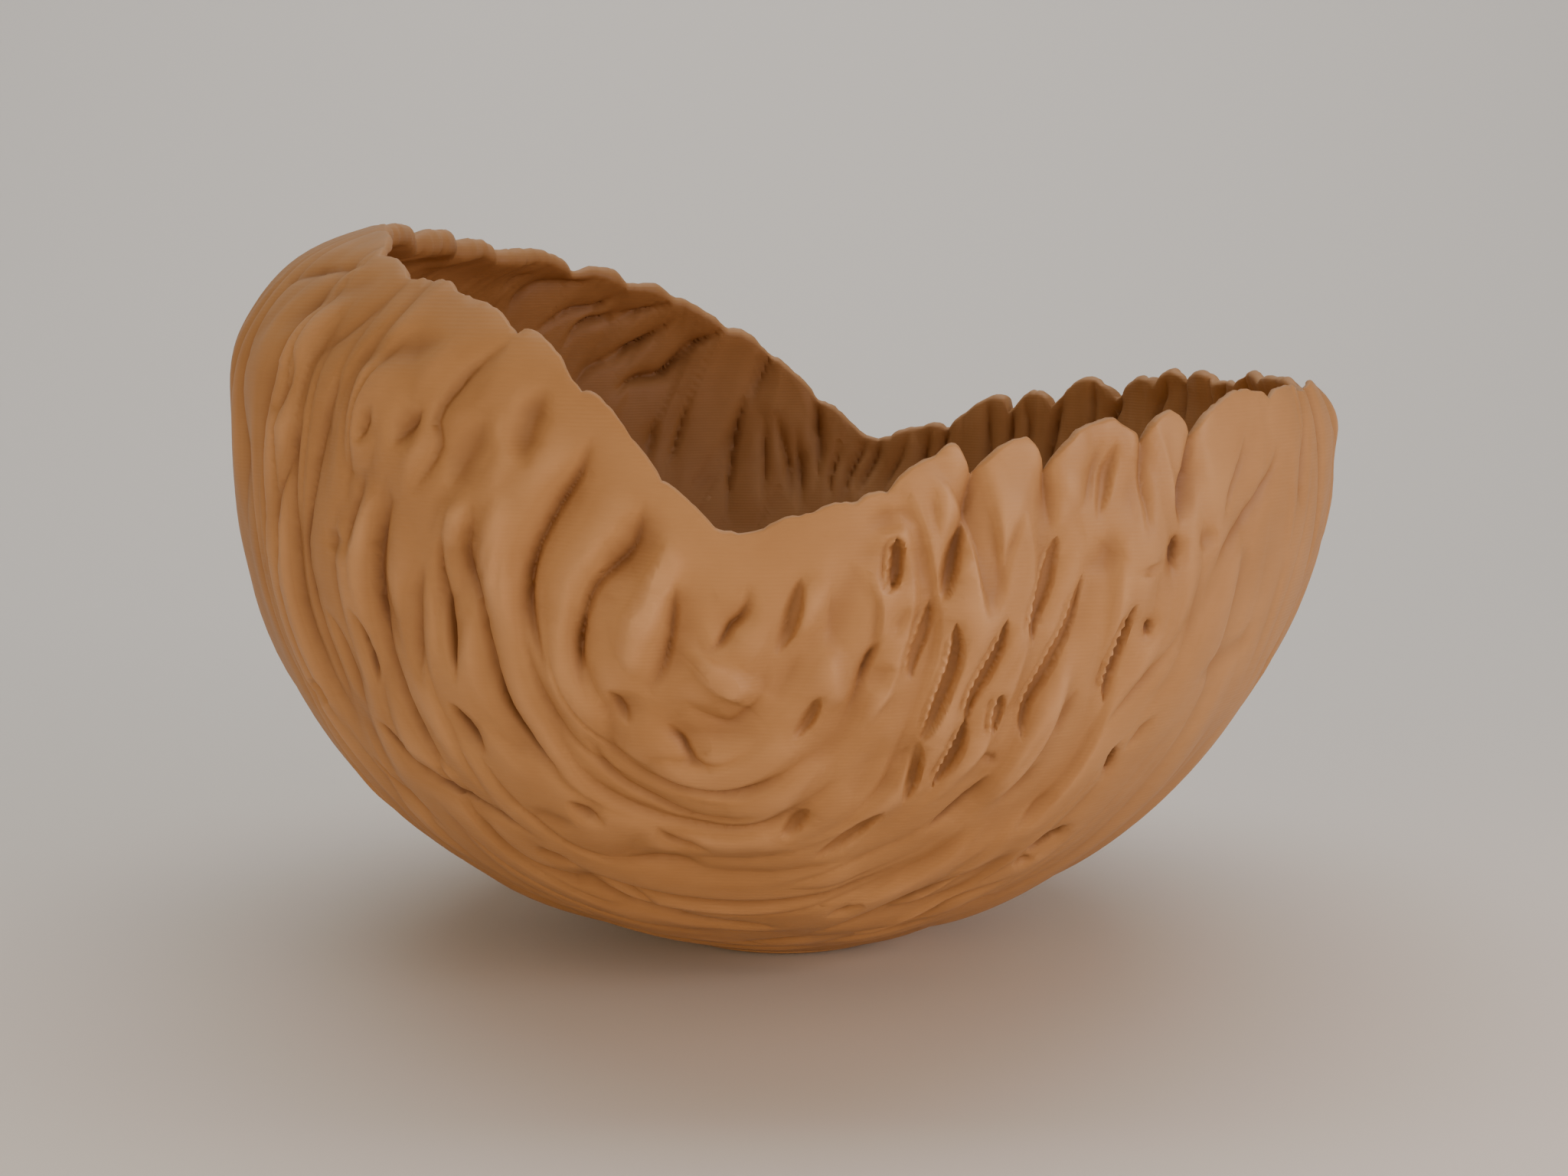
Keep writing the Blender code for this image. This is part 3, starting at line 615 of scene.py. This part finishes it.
def ends(share, ease):
    """1 along a stroke, easing to 0 over a share of it at both ends."""
    return smooth_step(0, ease, share) * smooth_step(0, ease, 1 - share)


def crease_profile(depth, left, right, line):
    """A fold that falls to a sharp line, which makes a share of its depth; it is shallow and narrow at its
    ends."""
    def profile(across, along, length):
        full = ends(along / length, min(0.45, CREASE_RUN_OUT / length))
        away = np.abs(across)
        flank = FLANK_WIDTH * np.where(across < 0, left, right) * (0.5 + 0.5 * full)
        fold = np.clip(1 - away / flank, 0, 1) ** 1.8
        return depth * full * ((1 - line) * fold + line * np.exp(-(away / CREASE_LINE_WIDTH) ** 2))
    return profile


def slit_profile(depth):
    """A thin slit that runs out towards both ends."""
    def profile(across, along, length):
        return depth * ends(along / length, 0.4) * np.exp(-(across / SLIT_WIDTH) ** 2)
    return profile


def hollow_profile(depth, width):
    """A soft hollow that narrows and runs out towards both ends."""
    def profile(across, along, length):
        full = ends(along / length, 0.4)
        return depth * full * np.exp(-(across / (width * (0.5 + 0.5 * full))) ** 2)
    return profile


def lens_share(along, length):
    """1 at the middle of a slot, falling to nearly 0 at its ends."""
    return np.sin(math.pi * np.clip(along / length, 0.01, 0.99))


def slot_profile(depth, width, kind):
    """A slot that deepens to a steep right side. Its ends are pointed, or blunt on a square one. A beaded
    one is fuller, with a fine groove along its left edge."""
    beaded = kind != PLAIN

    def profile(across, along, length):
        lens = lens_share(along, length) ** (SQUARENESS if kind == SQUARE else 1)
        half = width / 2 * lens ** 0.5
        place = across / half
        trough = smooth_step(-0.9, 0.2, place) * (1 - smooth_step(0.75, 1.1, place))
        from_edge = across + 0.42 * half + EDGE_GROOVE_OUT
        groove = EDGE_GROOVE * np.exp(-(from_edge / EDGE_GROOVE_WIDTH) ** 2)
        return depth * lens ** (0.8 - 0.4 * beaded) * trough + beaded * groove * smooth_step(0.2, 0.6, lens)
    return profile


def bead_profile(width):
    """A line of beads raised along a slot's left side."""
    def profile(across, along, length):
        lens = lens_share(along, length)
        beads = 0.65 + 0.35 * np.cos(2 * math.pi * along / BEAD_STEP)
        line = np.exp(-((across + 0.21 * width * lens ** 0.5) / BEAD_WIDTH) ** 2)
        return BEAD_HEIGHT * beads * line * smooth_step(0.2, 0.6, lens)
    return profile


def rim_reach(azimuth):
    """Reach of the rim along the wall, at azimuths in radians."""
    starts = np.radians([scallop[0] for scallop in SCALLOPS])
    turned = starts[0] + np.mod(azimuth - starts[0], 2 * math.pi)
    index = np.searchsorted(starts, turned, side="right") - 1
    table = np.array(SCALLOPS)
    following = np.roll(table, -1, axis=0)
    following[-1, 0] += 360
    notch, height, crest, top = table[index].T
    share = (np.degrees(turned) - notch) / (following[index, 0] - notch)
    peak = (crest - notch) / (following[index, 0] - notch)
    rise = following[index, 1] - height
    bulge = top - (height + rise * peak)
    bow = np.clip(np.sin(math.pi * np.clip(share, 0, 1) ** (math.log(0.5) / np.log(peak))), 0, 1) ** 0.8
    uneven = noise(azimuth * 4 * RING, azimuth * 0, seed=60)
    uneven = uneven + 0.6 * noise(azimuth * 9 * RING, azimuth * 0, seed=61)
    return (height + rise * share + bulge * bow) * MM + RIM_UNEVEN * uneven


def flow_places(points):
    """Angle of each point from the front saddle's axis, and its angle round that axis from the bottom."""
    heading = points - np.array((0, 0, WIDEST_HEIGHT))
    heading /= np.linalg.norm(heading, axis=-1, keepdims=True)
    front, back = math.radians(FRONT_SADDLE), math.radians(BACK_SADDLE)
    axis = np.array((math.cos(front) - math.cos(back), math.sin(front) - math.sin(back), 0))
    axis /= np.linalg.norm(axis)
    side = np.array((-axis[1], axis[0], 0))
    from_front = np.arccos(np.clip(heading @ axis, -1, 1))
    return from_front, np.arctan2(heading @ side, -heading[..., 2])


def ripple_phase(from_front, round_axis):
    """Ridges counted from the front saddle, so that each one meets a scallop of the rim at both ends."""
    notches = np.array([scallop[0] for scallop in SCALLOPS])
    right = np.sort(np.mod(notches - FRONT_SADDLE, 360))
    split = BACK_SADDLE - FRONT_SADDLE
    right_notches = np.concatenate([[0], right[right < split], [split]])
    left_notches = np.concatenate([[0], np.sort(360 - right[right > split]), [360 - split]])
    passed = np.degrees(from_front) / 180
    on_right = np.interp(passed * split, right_notches, np.arange(len(right_notches)))
    on_left = np.interp(passed * (360 - split), left_notches, np.arange(len(left_notches)))
    blend = smooth_step(-1.0, 1.0, round_axis)
    return on_left * (1 - blend) + on_right * blend


def run_out(points, stretch):
    """1 on the wall, easing to 0 over a stretch towards the foot."""
    radius = np.hypot(points[..., 0], points[..., 1])
    eased = smooth_step(FOOT_RADIUS, FOOT_RADIUS + stretch, radius)
    return np.where(points[..., 2] < WIDEST_HEIGHT, eased, 1)


def ripples(points, seed):
    """Depth of flowing ripples with uneven ridges, which run out before the foot."""
    from_front, round_axis = flow_places(points)
    phase = ripple_phase(from_front, round_axis)
    below_rim = smooth_step(2.0, 1.2, np.abs(round_axis))
    phase = phase + 0.5 * noise(from_front * 5, round_axis * 2.2, seed) * below_rim
    depth = 0.65 + 0.5 * noise(from_front * 7 + 9, round_axis * 2.5, seed + 1)
    fine = 0.3 * smooth_step(0, 0.5, noise(from_front * 6, round_axis * 3 + 5, seed + 2))
    ridges = depth * (1 - np.abs(np.sin(math.pi * phase)))
    ridges = ridges + fine * (1 - np.abs(np.sin(2 * math.pi * phase + 0.6)))
    return RIPPLE_DEPTH * ridges * run_out(points, RIPPLE_RUN_OUT)


def flow_folds(points):
    """Depth in mm of folds that run with the wall's flow: long creases that part, meet and run out. They are
    calmer by the saddles, on the front saddle's right and high on the wall."""
    from_front, round_axis = flow_places(points)
    turned = round_axis - FLOW_MIDDLE
    spread = np.where(turned < 0, FLOW_SPREAD_LEFT, FLOW_SPREAD_RIGHT)
    across = from_front - FLOW_DRIFT * np.exp(-(turned / spread) ** 2)
    across = across + 0.035 * noise(across * 4, round_axis * 2.4, seed=30)
    main = noise_creases(across * FLOW_MAIN[0], round_axis * FLOW_MAIN[1], 0.55, seed=31)
    fine = noise_creases(across * FLOW_FINE[0], round_axis * FLOW_FINE[1], 0.5, seed=32)
    strong = smooth_step(-0.7, 0.2, noise(across * 5, round_axis * 1.6, seed=33))
    off_saddles = smooth_step(0.2, 0.6, from_front) * smooth_step(0.2, 0.6, math.pi - from_front)
    on_right = smooth_step(0, 0.5, round_axis) * (0.35 + 0.4 * smooth_step(1.6, 1.0, from_front))
    high = smooth_step(8 * MM, 30 * MM, points[..., 2] - WIDEST_HEIGHT)
    strength = off_saddles * (1 - on_right) * run_out(points, FLOW_RUN_OUT) * (1 - 0.7 * high)
    return FLOW_DEPTH * strength * (strong * main ** 1.5 + FLOW_FINE_SHARE * fine ** 1.5)


def leaning_hollows(points):
    """Depth in mm of short hollows on the low lobe's side, which lean across the flow."""
    from_front, round_axis = flow_places(points)
    leaning = from_front + LEAN * round_axis
    hollows = smooth_step(0, 0.5, noise(leaning * LEAN_MANY[0], round_axis * LEAN_MANY[1], seed=36))
    low_lobe = smooth_step(0.1, 0.45, round_axis) * smooth_step(1.7, 1.3, round_axis)
    low_lobe = low_lobe * smooth_step(0.22, 0.4, from_front) * smooth_step(1.25, 0.85, from_front)
    return LEAN_DEPTH * low_lobe * hollows


def soften(field, passes):
    """Blurs a field of rows and segments; the segments go right round."""
    for _ in range(passes):
        field = (np.roll(field, 1, axis=1) + 2 * field + np.roll(field, -1, axis=1)) / 4
        padded = np.vstack([field[:1], field, field[-1:]])
        field = (padded[:-2] + 2 * field + padded[2:]) / 4
    return field


def painted_fold_shade(depth):
    """How far each point lies in a fold, for the shade painted there; narrow creases count for more, as less
    light gets into them.
    """
    crease = np.maximum(depth - soften(depth, CREASE_BLUR), 0)
    return depth - soften(depth, FOLD_BLUR) + CREASE_SHADE_WEIGHT * crease


def seen_share(wall):
    """1 where a side of the wall faces the photograph's camera, easing to 0 where it turns away."""
    to_camera = camera_place()[0] - wall.points
    to_camera /= np.linalg.norm(to_camera, axis=-1, keepdims=True)
    return smooth_step(SEEN_START, SEEN_FULL, (wall.normals * to_camera).sum(axis=-1))


def outer_depth(wall):
    """How far the outer wall is pressed in from its smooth shape, and in mm how much shade is painted along
    its slits, less the highlight painted on its beads."""
    folds, drawn, slits, beads = np.zeros((4,) + wall.turns.shape)
    for depth, left, right, line in CREASES:
        margin = CREASE_MARGIN * FLANK_WIDTH * MM * max(left, right)
        near, pressed = wall.stroke(line, margin, crease_profile(depth, left, right, CREASE_LINE))
        folds[near] += pressed ** 3
    for depth, line in SLITS:
        near, pressed = wall.stroke(line, SLIT_MARGIN * MM * SLIT_WIDTH, slit_profile(depth))
        slits[near] += pressed
    for depth, width, line in HOLLOWS:
        profile = hollow_profile(HOLLOW_RELIEF * depth, width)
        near, pressed = wall.stroke(line, HOLLOW_MARGIN * MM * width, profile)
        drawn[near] += pressed
    for height, width, line in RAISED:
        profile = hollow_profile(RAISED_RELIEF * height, width)
        near, raised = wall.stroke(line, HOLLOW_MARGIN * MM * width, profile)
        drawn[near] -= raised
    for depth, width, kind, line in SLOTS:
        margin = SLOT_MARGIN * MM * width
        near, pressed = wall.stroke(line, margin, slot_profile(SLOT_RELIEF * depth, width, kind))
        drawn[near] += pressed
        profile = hollow_profile(GROOVE_SHARE * depth, width)
        near, pressed = wall.stroke(run_on(line), HOLLOW_MARGIN * MM * width, profile)
        drawn[near] += pressed
        if kind != PLAIN:
            near, raised = wall.stroke(line, margin, bead_profile(width))
            beads[near] = np.maximum(beads[near], raised)
    streaks = flow_folds(wall.points) + leaning_hollows(wall.points)
    from_low_lobe = np.degrees(np.arccos(np.cos(wall.turns)))
    low_side = smooth_step(RIM_CURL_END, RIM_CURL_FULL, from_low_lobe)
    curl = RIM_CURL * low_side * np.clip(1 - (wall.rim - wall.reach) / RIM_CURL_HEIGHT, 0, 1) ** 2
    seen = seen_share(wall)
    hidden = HIDDEN_RIPPLES * ripples(wall.points, seed=11) + HIDDEN_FOLDS * MM * streaks
    pressed = (np.cbrt(folds) + drawn + streaks - beads) * seen
    pressed = pressed * MM + hidden * (1 - seen)
    limited = DEEPEST * (1 - np.exp(-np.clip(pressed, -HIGHEST, None) / DEEPEST))
    return curl + limited + slits * seen * MM, SLIT_PAINTED_SHADE * slits - beads


def inner_flutes(wall):
    """Depth in mm of the long upright flutes inside, which lean over towards the tall lobe."""
    lean = smooth_step(1.2, 2.2, wall.turns) * smooth_step(5.0, 3.8, wall.turns)
    turn = wall.turns + FLUTE_LEAN * lean * wall.reach / BOWL_RADIUS
    turn = turn + 0.05 * noise(turn * RING, wall.reach / FINE_FLUTE_LENGTH, seed=50)
    main = noise_creases(turn * RING, wall.reach / FLUTE_LENGTH, 0.6, seed=51)
    fine = noise_creases(turn * 3 * RING, wall.reach / FINE_FLUTE_LENGTH, 0.5, seed=52)
    flutes = main ** 1.4 + FINE_FLUTE_SHARE * fine ** 1.4
    return FLUTE_DEPTH * flutes * run_out(wall.points, FLUTE_RUN_OUT)


def inner_depth(wall, outer):
    """How far the inner wall lies from the smooth outer shape."""
    folds = np.zeros(wall.turns.shape)
    for depth, flank, line in INNER_CREASES:
        reach = INNER_FLANK_LEAST + INNER_FLANK_WIDTH * flank
        profile = crease_profile(INNER_RELIEF * depth, reach, reach, INNER_CREASE_LINE)
        near, pressed = wall.stroke(line, INNER_MARGIN * MM * (1 + flank), profile, inside=True)
        folds[near] += pressed ** 3
    seen = seen_share(wall)
    hidden = HIDDEN_INNER_RIPPLES * ripples(wall.points, seed=23)
    grooves = (np.cbrt(folds) + inner_flutes(wall)) * MM * seen + hidden * (1 - seen)
    tall = smooth_step(LIP_END, LIP_FULL, np.abs(np.degrees(wall.turns) - LIP_MIDDLE))
    front = smooth_step(-0.1, 0.3, -np.sin(wall.turns))
    at_rim = smooth_step(LIP_START, 1, wall.shares)[:, None]
    lip = (LIP * tall - RIM_TAPER * (1 - tall) * front) * at_rim
    swell = INNER_SWELL * seen * (1 - front)
    plain = np.maximum(WALL + soften(outer, INNER_BLUR) + swell + lip, outer + LEAST_WALL)
    eased = plain * seen + soften(plain, HIDDEN_BLUR) * (1 - seen)
    return np.maximum(eased - grooves, outer + LEAST_WALL * (HIDDEN_LEAST + (1 - HIDDEN_LEAST) * seen))


def shell_rows(azimuth):
    """Rows of points from under the foot, up the outer wall, over the rim and down to the floor, and how far
    each point lies in a fold, in mm, which sets the shade painted in folds and the highlight painted on
    raised edges."""
    def ring(radius, height):
        level = np.full(len(azimuth), height)
        return np.stack([radius * np.cos(azimuth), radius * np.sin(azimuth), level], axis=-1)

    bottom = [ring(RECESS_RADIUS * k / RECESS_ROWS, RECESS_TOP) for k in range(RECESS_ROWS + 1)]
    bottom += [ring(RECESS_RADIUS, FOOT_HEIGHT), ring(FOOT_RADIUS - FOOT_EDGE_WIDTH, FOOT_HEIGHT)]
    bottom += [ring(FOOT_RADIUS, FOOT_HEIGHT + FOOT_EDGE_HEIGHT)]
    rim = rim_reach(azimuth)
    outside = Wall(azimuth, rim, np.linspace(0, 1, OUTER_ROWS), 0, 1)
    inside = Wall(azimuth, rim, np.linspace(1, 0, INNER_ROWS), WALL, -1)
    outer, lines = outer_depth(outside)
    # The shade painted in the folds and along the slits, less the highlight painted on the beads and ridges.
    outer_painted_light = painted_fold_shade(outer) + lines * MM
    place = inside.shares * (OUTER_ROWS - 1)
    row = np.minimum(place.astype(int), OUTER_ROWS - 2)
    part = (place - row)[:, None]
    inner = inner_depth(inside, outer[row] * (1 - part) + outer[row + 1] * part)
    over = (np.arange(RIM_ROWS) + 1)[:, None] / (RIM_ROWS + 1) * math.pi
    edge = (inner[0] - outer[-1]) / 2
    rim_depth = outer[-1] + edge * (1 - np.cos(over))
    rim_turns = np.broadcast_to(azimuth, rim_depth.shape)
    rim_points = wall_points(rim_turns, rim + RIM_ROUND * edge * np.sin(over), rim_depth)
    outer_points = wall_points(outside.turns, outside.reach, outer)
    inner_points = wall_points(inside.turns, inside.reach, inner)
    last = inner_points[-1]
    floor = []
    for share in 1 - (np.arange(FLOOR_ROWS) + 1) / FLOOR_ROWS:
        level = FLOOR_HEIGHT + (last[:, 2] - FLOOR_HEIGHT) * share ** 4
        floor.append(np.stack([last[:, 0] * share, last[:, 1] * share, level], axis=-1))
    inner_painted_shade = painted_fold_shade(-inner)
    rows = np.concatenate([bottom, outer_points, rim_points, inner_points, floor])
    folds = np.zeros(rows.shape[:2])
    folds[len(bottom):len(bottom) + OUTER_ROWS] = outer_painted_light
    # The inner wall gets a share of the shade painted in its folds, and no painted highlight.
    folds[len(bottom) + OUTER_ROWS + RIM_ROWS:-FLOOR_ROWS] = INNER_PAINTED_SHADE * np.maximum(inner_painted_shade, 0)
    return rows, folds / MM


# Tan PLA: its tone varies in patches about 22 mm wide, and with it the roughness. Its layers are about
# 0.2 mm high; they are drawn at 0.6 mm so that they show.
TAN_DEEP = "#A17446"
TAN_PALE = "#AD8052"
TAN_PATCH = 22.22 * MM
PLA_IOR = 1.46
PLA_ROUGHNESS = (0.5, 0.64)
LAYER = 0.6 * MM
LAYER_BUMP = 0.14
LAYER_BUMP_HEIGHT = 0.1 * MM

# Painted shade and painted highlight on the print: the mm in a fold at which each one starts and is full,
# the most that it covers, and its colour. Shade is painted browner in the folds, and a paler highlight on
# the edges that stand out.
PAINTED_SHADE_AND_HIGHLIGHT = (
    (0, 2.4, 0.85, "#63370F"),
    (-0.2, -1.6, 0.6, "#CFA077"),
)

# Sockets of a Mix node that mixes colours.
MIX_SHARE, MIX_FIRST, MIX_SECOND, MIX_RESULT = 0, 6, 7, 2

# Wool felt, in clumps of fibres about 1.1 mm wide.
FELT_DARK = "#352B24"
FELT_PALE = "#5A4C40"
FELT_CLUMP = 1.11 * MM
FELT_ROUGHNESS = 0.95
FELT_BUMP = 0.6
FELT_BUMP_HEIGHT = 0.2 * MM

# Studio: a paper sweep, in metres, which reaches equally far sideways, forwards and up, and a pale surround.
SWEEP_START = 0.5
SWEEP_RADIUS = 0.8
SWEEP_REACH = 4.0
SWEEP_STEPS = 24
PAPER = "#D8D4CF"
PAPER_ROUGHNESS = 0.8
SURROUND_LOW = "#B4B0AC"
SURROUND_HIGH = "#FFF4E4"
SURROUND_STRENGTH = 0.35

# Lights: place, target, width and height in metres, power in watts and colour.
SOFT_BOXES = (
    ("key", (0.36, -0.30, 0.145), (0, 0, 0.06), (0.24, 0.20), 1.10, "#FFE8DC"),
    ("low front", (-0.20, -0.45, 0.11), (-0.02, 0, 0.07), (0.40, 0.13), 0.88, "#FFDFB4"),
    ("low right", (0.20, -0.42, 0.03), (0.03, 0, 0.03), (0.30, 0.05), 0.15, "#FFE9DC"),
    ("backdrop", (0, 0.35, 1.4), (0, 1.0, 0.4), (1.6, 1.0), 16, "#FFFFFF"),
)


def deselect_all():
    bpy.ops.object.select_all(action='DESELECT')


def printed_shell():
    """A sheet rolled up round the bowl's axis, from under the foot over the rim to the floor, and closed."""
    turn = np.arange(SEGMENTS + 1) / SEGMENTS * 2 * math.pi
    rows, folds = shell_rows(turn - FRONT_BIAS * np.sin(turn - FRONT_MIDDLE))
    deselect_all()
    bpy.ops.mesh.primitive_grid_add(x_subdivisions=SEGMENTS, y_subdivisions=len(rows) - 1, size=2)
    shell = bpy.context.object
    shell.name = "printed_bowl_shell"
    mesh = shell.data
    sheet = np.zeros(len(mesh.vertices) * 3)
    mesh.vertices.foreach_get("co", sheet)
    place = (sheet.reshape(-1, 3)[:, :2] + 1) / 2 * (SEGMENTS, len(rows) - 1)
    column, row = np.rint(place).astype(int).T
    mesh.vertices.foreach_set("co", rows[row, column].ravel())
    # The fold attribute sets the shade painted in folds and the highlight painted on raised edges.
    mesh.attributes.new("fold", 'FLOAT', 'POINT').data.foreach_set("value", folds[row, column])
    mesh.update()
    bpy.ops.object.mode_set(mode='EDIT')
    bpy.ops.mesh.select_all(action='SELECT')
    bpy.ops.mesh.remove_doubles(threshold=MERGE_DISTANCE)
    bpy.ops.object.mode_set(mode='OBJECT')
    thin = shell.modifiers.new("thin out", 'DECIMATE')
    thin.ratio = SHELL_TRIANGLES / (2 * SEGMENTS * (len(rows) - 1))
    bpy.ops.object.modifier_apply(modifier=thin.name)
    bpy.ops.object.shade_smooth_by_angle(angle=SHELL_SHARP_ANGLE)
    return shell


def felt_pad():
    """Pressed felt disc with a soft cut edge."""
    thickness = PAD_HIGH.z - PAD_LOW.z
    deselect_all()
    bpy.ops.mesh.primitive_cylinder_add(vertices=PAD_SIDES, radius=PAD_RADIUS, depth=thickness,
                                        location=(0, 0, PAD_LOW.z + thickness / 2))
    pad = bpy.context.object
    pad.name = "glued_felt_pad"
    bpy.ops.object.transform_apply(location=True, rotation=True, scale=True)
    bpy.ops.object.mode_set(mode='EDIT')
    bpy.ops.mesh.select_all(action='SELECT')
    bpy.ops.mesh.bevel(offset=PAD_EDGE, segments=PAD_EDGE_STEPS)
    bpy.ops.object.mode_set(mode='OBJECT')
    bpy.ops.object.shade_smooth_by_angle(angle=PAD_SHARP_ANGLE)
    return pad


def linear(hex_colour):
    """sRGB hex to linear RGBA."""
    parts = [int(hex_colour[i:i + 2], 16) / 255 for i in (1, 3, 5)]
    return tuple(c / 12.92 if c <= 0.04045 else ((c + 0.055) / 1.055) ** 2.4 for c in parts) + (1.0,)


def node(tree, kind, settings=(), links=()):
    """Adds a node; settings name its properties or sockets, and links go from other nodes' sockets."""
    made = tree.nodes.new(kind)
    for name, value in dict(settings).items():
        if name in made.inputs:
            made.inputs[name].default_value = value
        else:
            setattr(made, name, value)
    for name, source in dict(links).items():
        tree.links.new(source, made.inputs[name])
    return made


def new_material(name):
    material = bpy.data.materials.new(name)
    material.use_nodes = True
    return material, material.node_tree, material.node_tree.nodes["Principled BSDF"]


def printed_pla():
    """Matte tan PLA, printed in level layers: a soft sheen, layer lines and slightly uneven colour, with
    shade painted browner in the folds and a paler highlight painted on the edges that stand out."""
    material, tree, shader = new_material("tan printed PLA")
    place = node(tree, "ShaderNodeTexCoord").outputs["Object"]
    patches = node(tree, "ShaderNodeTexNoise", {"Scale": 1 / TAN_PATCH, "Detail": 4, "Roughness": 0.6},
                   {"Vector": place})
    tone = node(tree, "ShaderNodeValToRGB", links={"Fac": patches.outputs["Fac"]})
    for end, (position, colour) in zip(tone.color_ramp.elements, ((0.3, TAN_DEEP), (0.7, TAN_PALE))):
        end.position = position
        end.color = linear(colour)
    # Shade painted browner in the folds and a paler highlight painted on raised edges, from the fold
    # attribute.
    fold = node(tree, "ShaderNodeAttribute", {"attribute_name": "fold"})
    shade = tone.outputs["Color"]
    for start, full, most, painted_light_colour in PAINTED_SHADE_AND_HIGHLIGHT:
        share = node(tree, "ShaderNodeMapRange", {"From Min": start, "From Max": full, "To Max": most},
                     {"Value": fold.outputs["Fac"]})
        mix = node(tree, "ShaderNodeMix", {"data_type": 'RGBA'})
        tree.links.new(share.outputs["Result"], mix.inputs[MIX_SHARE])
        tree.links.new(shade, mix.inputs[MIX_FIRST])
        mix.inputs[MIX_SECOND].default_value = linear(painted_light_colour)
        shade = mix.outputs[MIX_RESULT]
    tree.links.new(shade, shader.inputs["Base Color"])
    layers = node(tree, "ShaderNodeTexWave", {"bands_direction": 'Z', "Scale": math.pi / (10 * LAYER),
                                              "Distortion": 1.0, "Detail Scale": 0.4}, {"Vector": place})
    bump = node(tree, "ShaderNodeBump", {"Strength": LAYER_BUMP, "Distance": LAYER_BUMP_HEIGHT},
                {"Height": layers.outputs["Fac"]})
    tree.links.new(bump.outputs["Normal"], shader.inputs["Normal"])
    smooth, rough = PLA_ROUGHNESS
    sheen = node(tree, "ShaderNodeMapRange", {"To Min": smooth, "To Max": rough},
                 {"Value": patches.outputs["Fac"]})
    tree.links.new(sheen.outputs["Result"], shader.inputs["Roughness"])
    shader.inputs["IOR"].default_value = PLA_IOR
    return material


def wool_felt():
    """Brown wool felt, pressed and cut: dull, mottled and pitted by its fibres."""
    material, tree, shader = new_material("brown wool felt")
    place = node(tree, "ShaderNodeTexCoord").outputs["Object"]
    fibres = node(tree, "ShaderNodeTexNoise", {"Scale": 1 / FELT_CLUMP, "Detail": 6, "Roughness": 0.7,
                                               "Distortion": 2.0}, {"Vector": place})
    tone = node(tree, "ShaderNodeValToRGB", links={"Fac": fibres.outputs["Fac"]})
    for end, (position, colour) in zip(tone.color_ramp.elements, ((0.35, FELT_DARK), (0.65, FELT_PALE))):
        end.position = position
        end.color = linear(colour)
    tree.links.new(tone.outputs["Color"], shader.inputs["Base Color"])
    bump = node(tree, "ShaderNodeBump", {"Strength": FELT_BUMP, "Distance": FELT_BUMP_HEIGHT},
                {"Height": fibres.outputs["Fac"]})
    tree.links.new(bump.outputs["Normal"], shader.inputs["Normal"])
    shader.inputs["Roughness"].default_value = FELT_ROUGHNESS
    return material


def studio_paper():
    """Pale seamless paper, matte: it takes the bowl's shadow softly and without a gloss."""
    material, _, shader = new_material("pale studio paper")
    shader.inputs["Base Color"].default_value = linear(PAPER)
    shader.inputs["Roughness"].default_value = PAPER_ROUGHNESS
    return material


def aim_at(direction):
    return Vector(direction).to_track_quat('-Z', 'Y').to_euler()


def soft_box(name, place, target, size, power, colour):
    """A light with a width and a height, aimed at a target."""
    light = bpy.data.lights.new(name, 'AREA')
    light.shape = 'RECTANGLE'
    light.size, light.size_y = size
    light.energy = power
    light.color = linear(colour)[:3]
    lamp = bpy.data.objects.new(name, light)
    lamp.location = place
    lamp.rotation_euler = aim_at(np.subtract(target, place))
    bpy.context.scene.collection.objects.link(lamp)


def soft_surround():
    """An even pale surround, a little brighter overhead."""
    world = bpy.data.worlds.new("soft studio")
    world.use_nodes = True
    tree = world.node_tree
    background = tree.nodes["Background"]
    place = node(tree, "ShaderNodeTexCoord")
    height = node(tree, "ShaderNodeSeparateXYZ", links={"Vector": place.outputs["Generated"]})
    ramp = node(tree, "ShaderNodeValToRGB", links={"Fac": height.outputs["Z"]})
    shades = ((0.1, SURROUND_LOW), (0.9, SURROUND_HIGH))
    for end, (position, colour) in zip(ramp.color_ramp.elements, shades):
        end.position = position
        end.color = linear(colour)
    tree.links.new(ramp.outputs["Color"], background.inputs["Color"])
    background.inputs["Strength"].default_value = SURROUND_STRENGTH
    bpy.context.scene.world = world


def studio_sweep():
    """Pale floor that bends up into a wall behind the bowl."""
    deselect_all()
    bpy.ops.mesh.primitive_grid_add(x_subdivisions=1, y_subdivisions=SWEEP_STEPS + 2, size=2)
    sweep = bpy.context.object
    sweep.name = "studio_sweep"
    for vertex in sweep.data.vertices:
        step = round((vertex.co.y + 1) / 2 * (SWEEP_STEPS + 2))
        turn = min(max((step - 1) / SWEEP_STEPS, 0), 1) * math.pi / 2
        back = SWEEP_START + SWEEP_RADIUS * math.sin(turn)
        rise = SWEEP_RADIUS * (1 - math.cos(turn))
        if step == 0:
            back = -SWEEP_REACH
        if step == SWEEP_STEPS + 2:
            rise = SWEEP_REACH
        vertex.co = (vertex.co.x * SWEEP_REACH, back, rise)
    bpy.ops.object.shade_smooth()
    sweep.data.materials.append(studio_paper())


def studio():
    studio_sweep()
    soft_surround()
    for box in SOFT_BOXES:
        soft_box(*box)


def photo_camera():
    position, forward, _, _ = camera_place()
    data = bpy.data.cameras.new("photo camera")
    data.sensor_width = SENSOR_WIDTH_MM
    data.lens = FOCAL_PIXELS / PHOTO_SIZE[0] * SENSOR_WIDTH_MM
    camera = bpy.data.objects.new("photo camera", data)
    camera.location = position
    camera.rotation_euler = aim_at(forward)
    bpy.context.scene.collection.objects.link(camera)
    bpy.context.scene.camera = camera


shell = printed_shell()
shell.data.materials.append(printed_pla())
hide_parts("bowl_shell")
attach(shell, "root")

pad = felt_pad()
pad.data.materials.append(wool_felt())
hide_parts("felt_base_pad")
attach(pad, "root")

studio()
photo_camera()
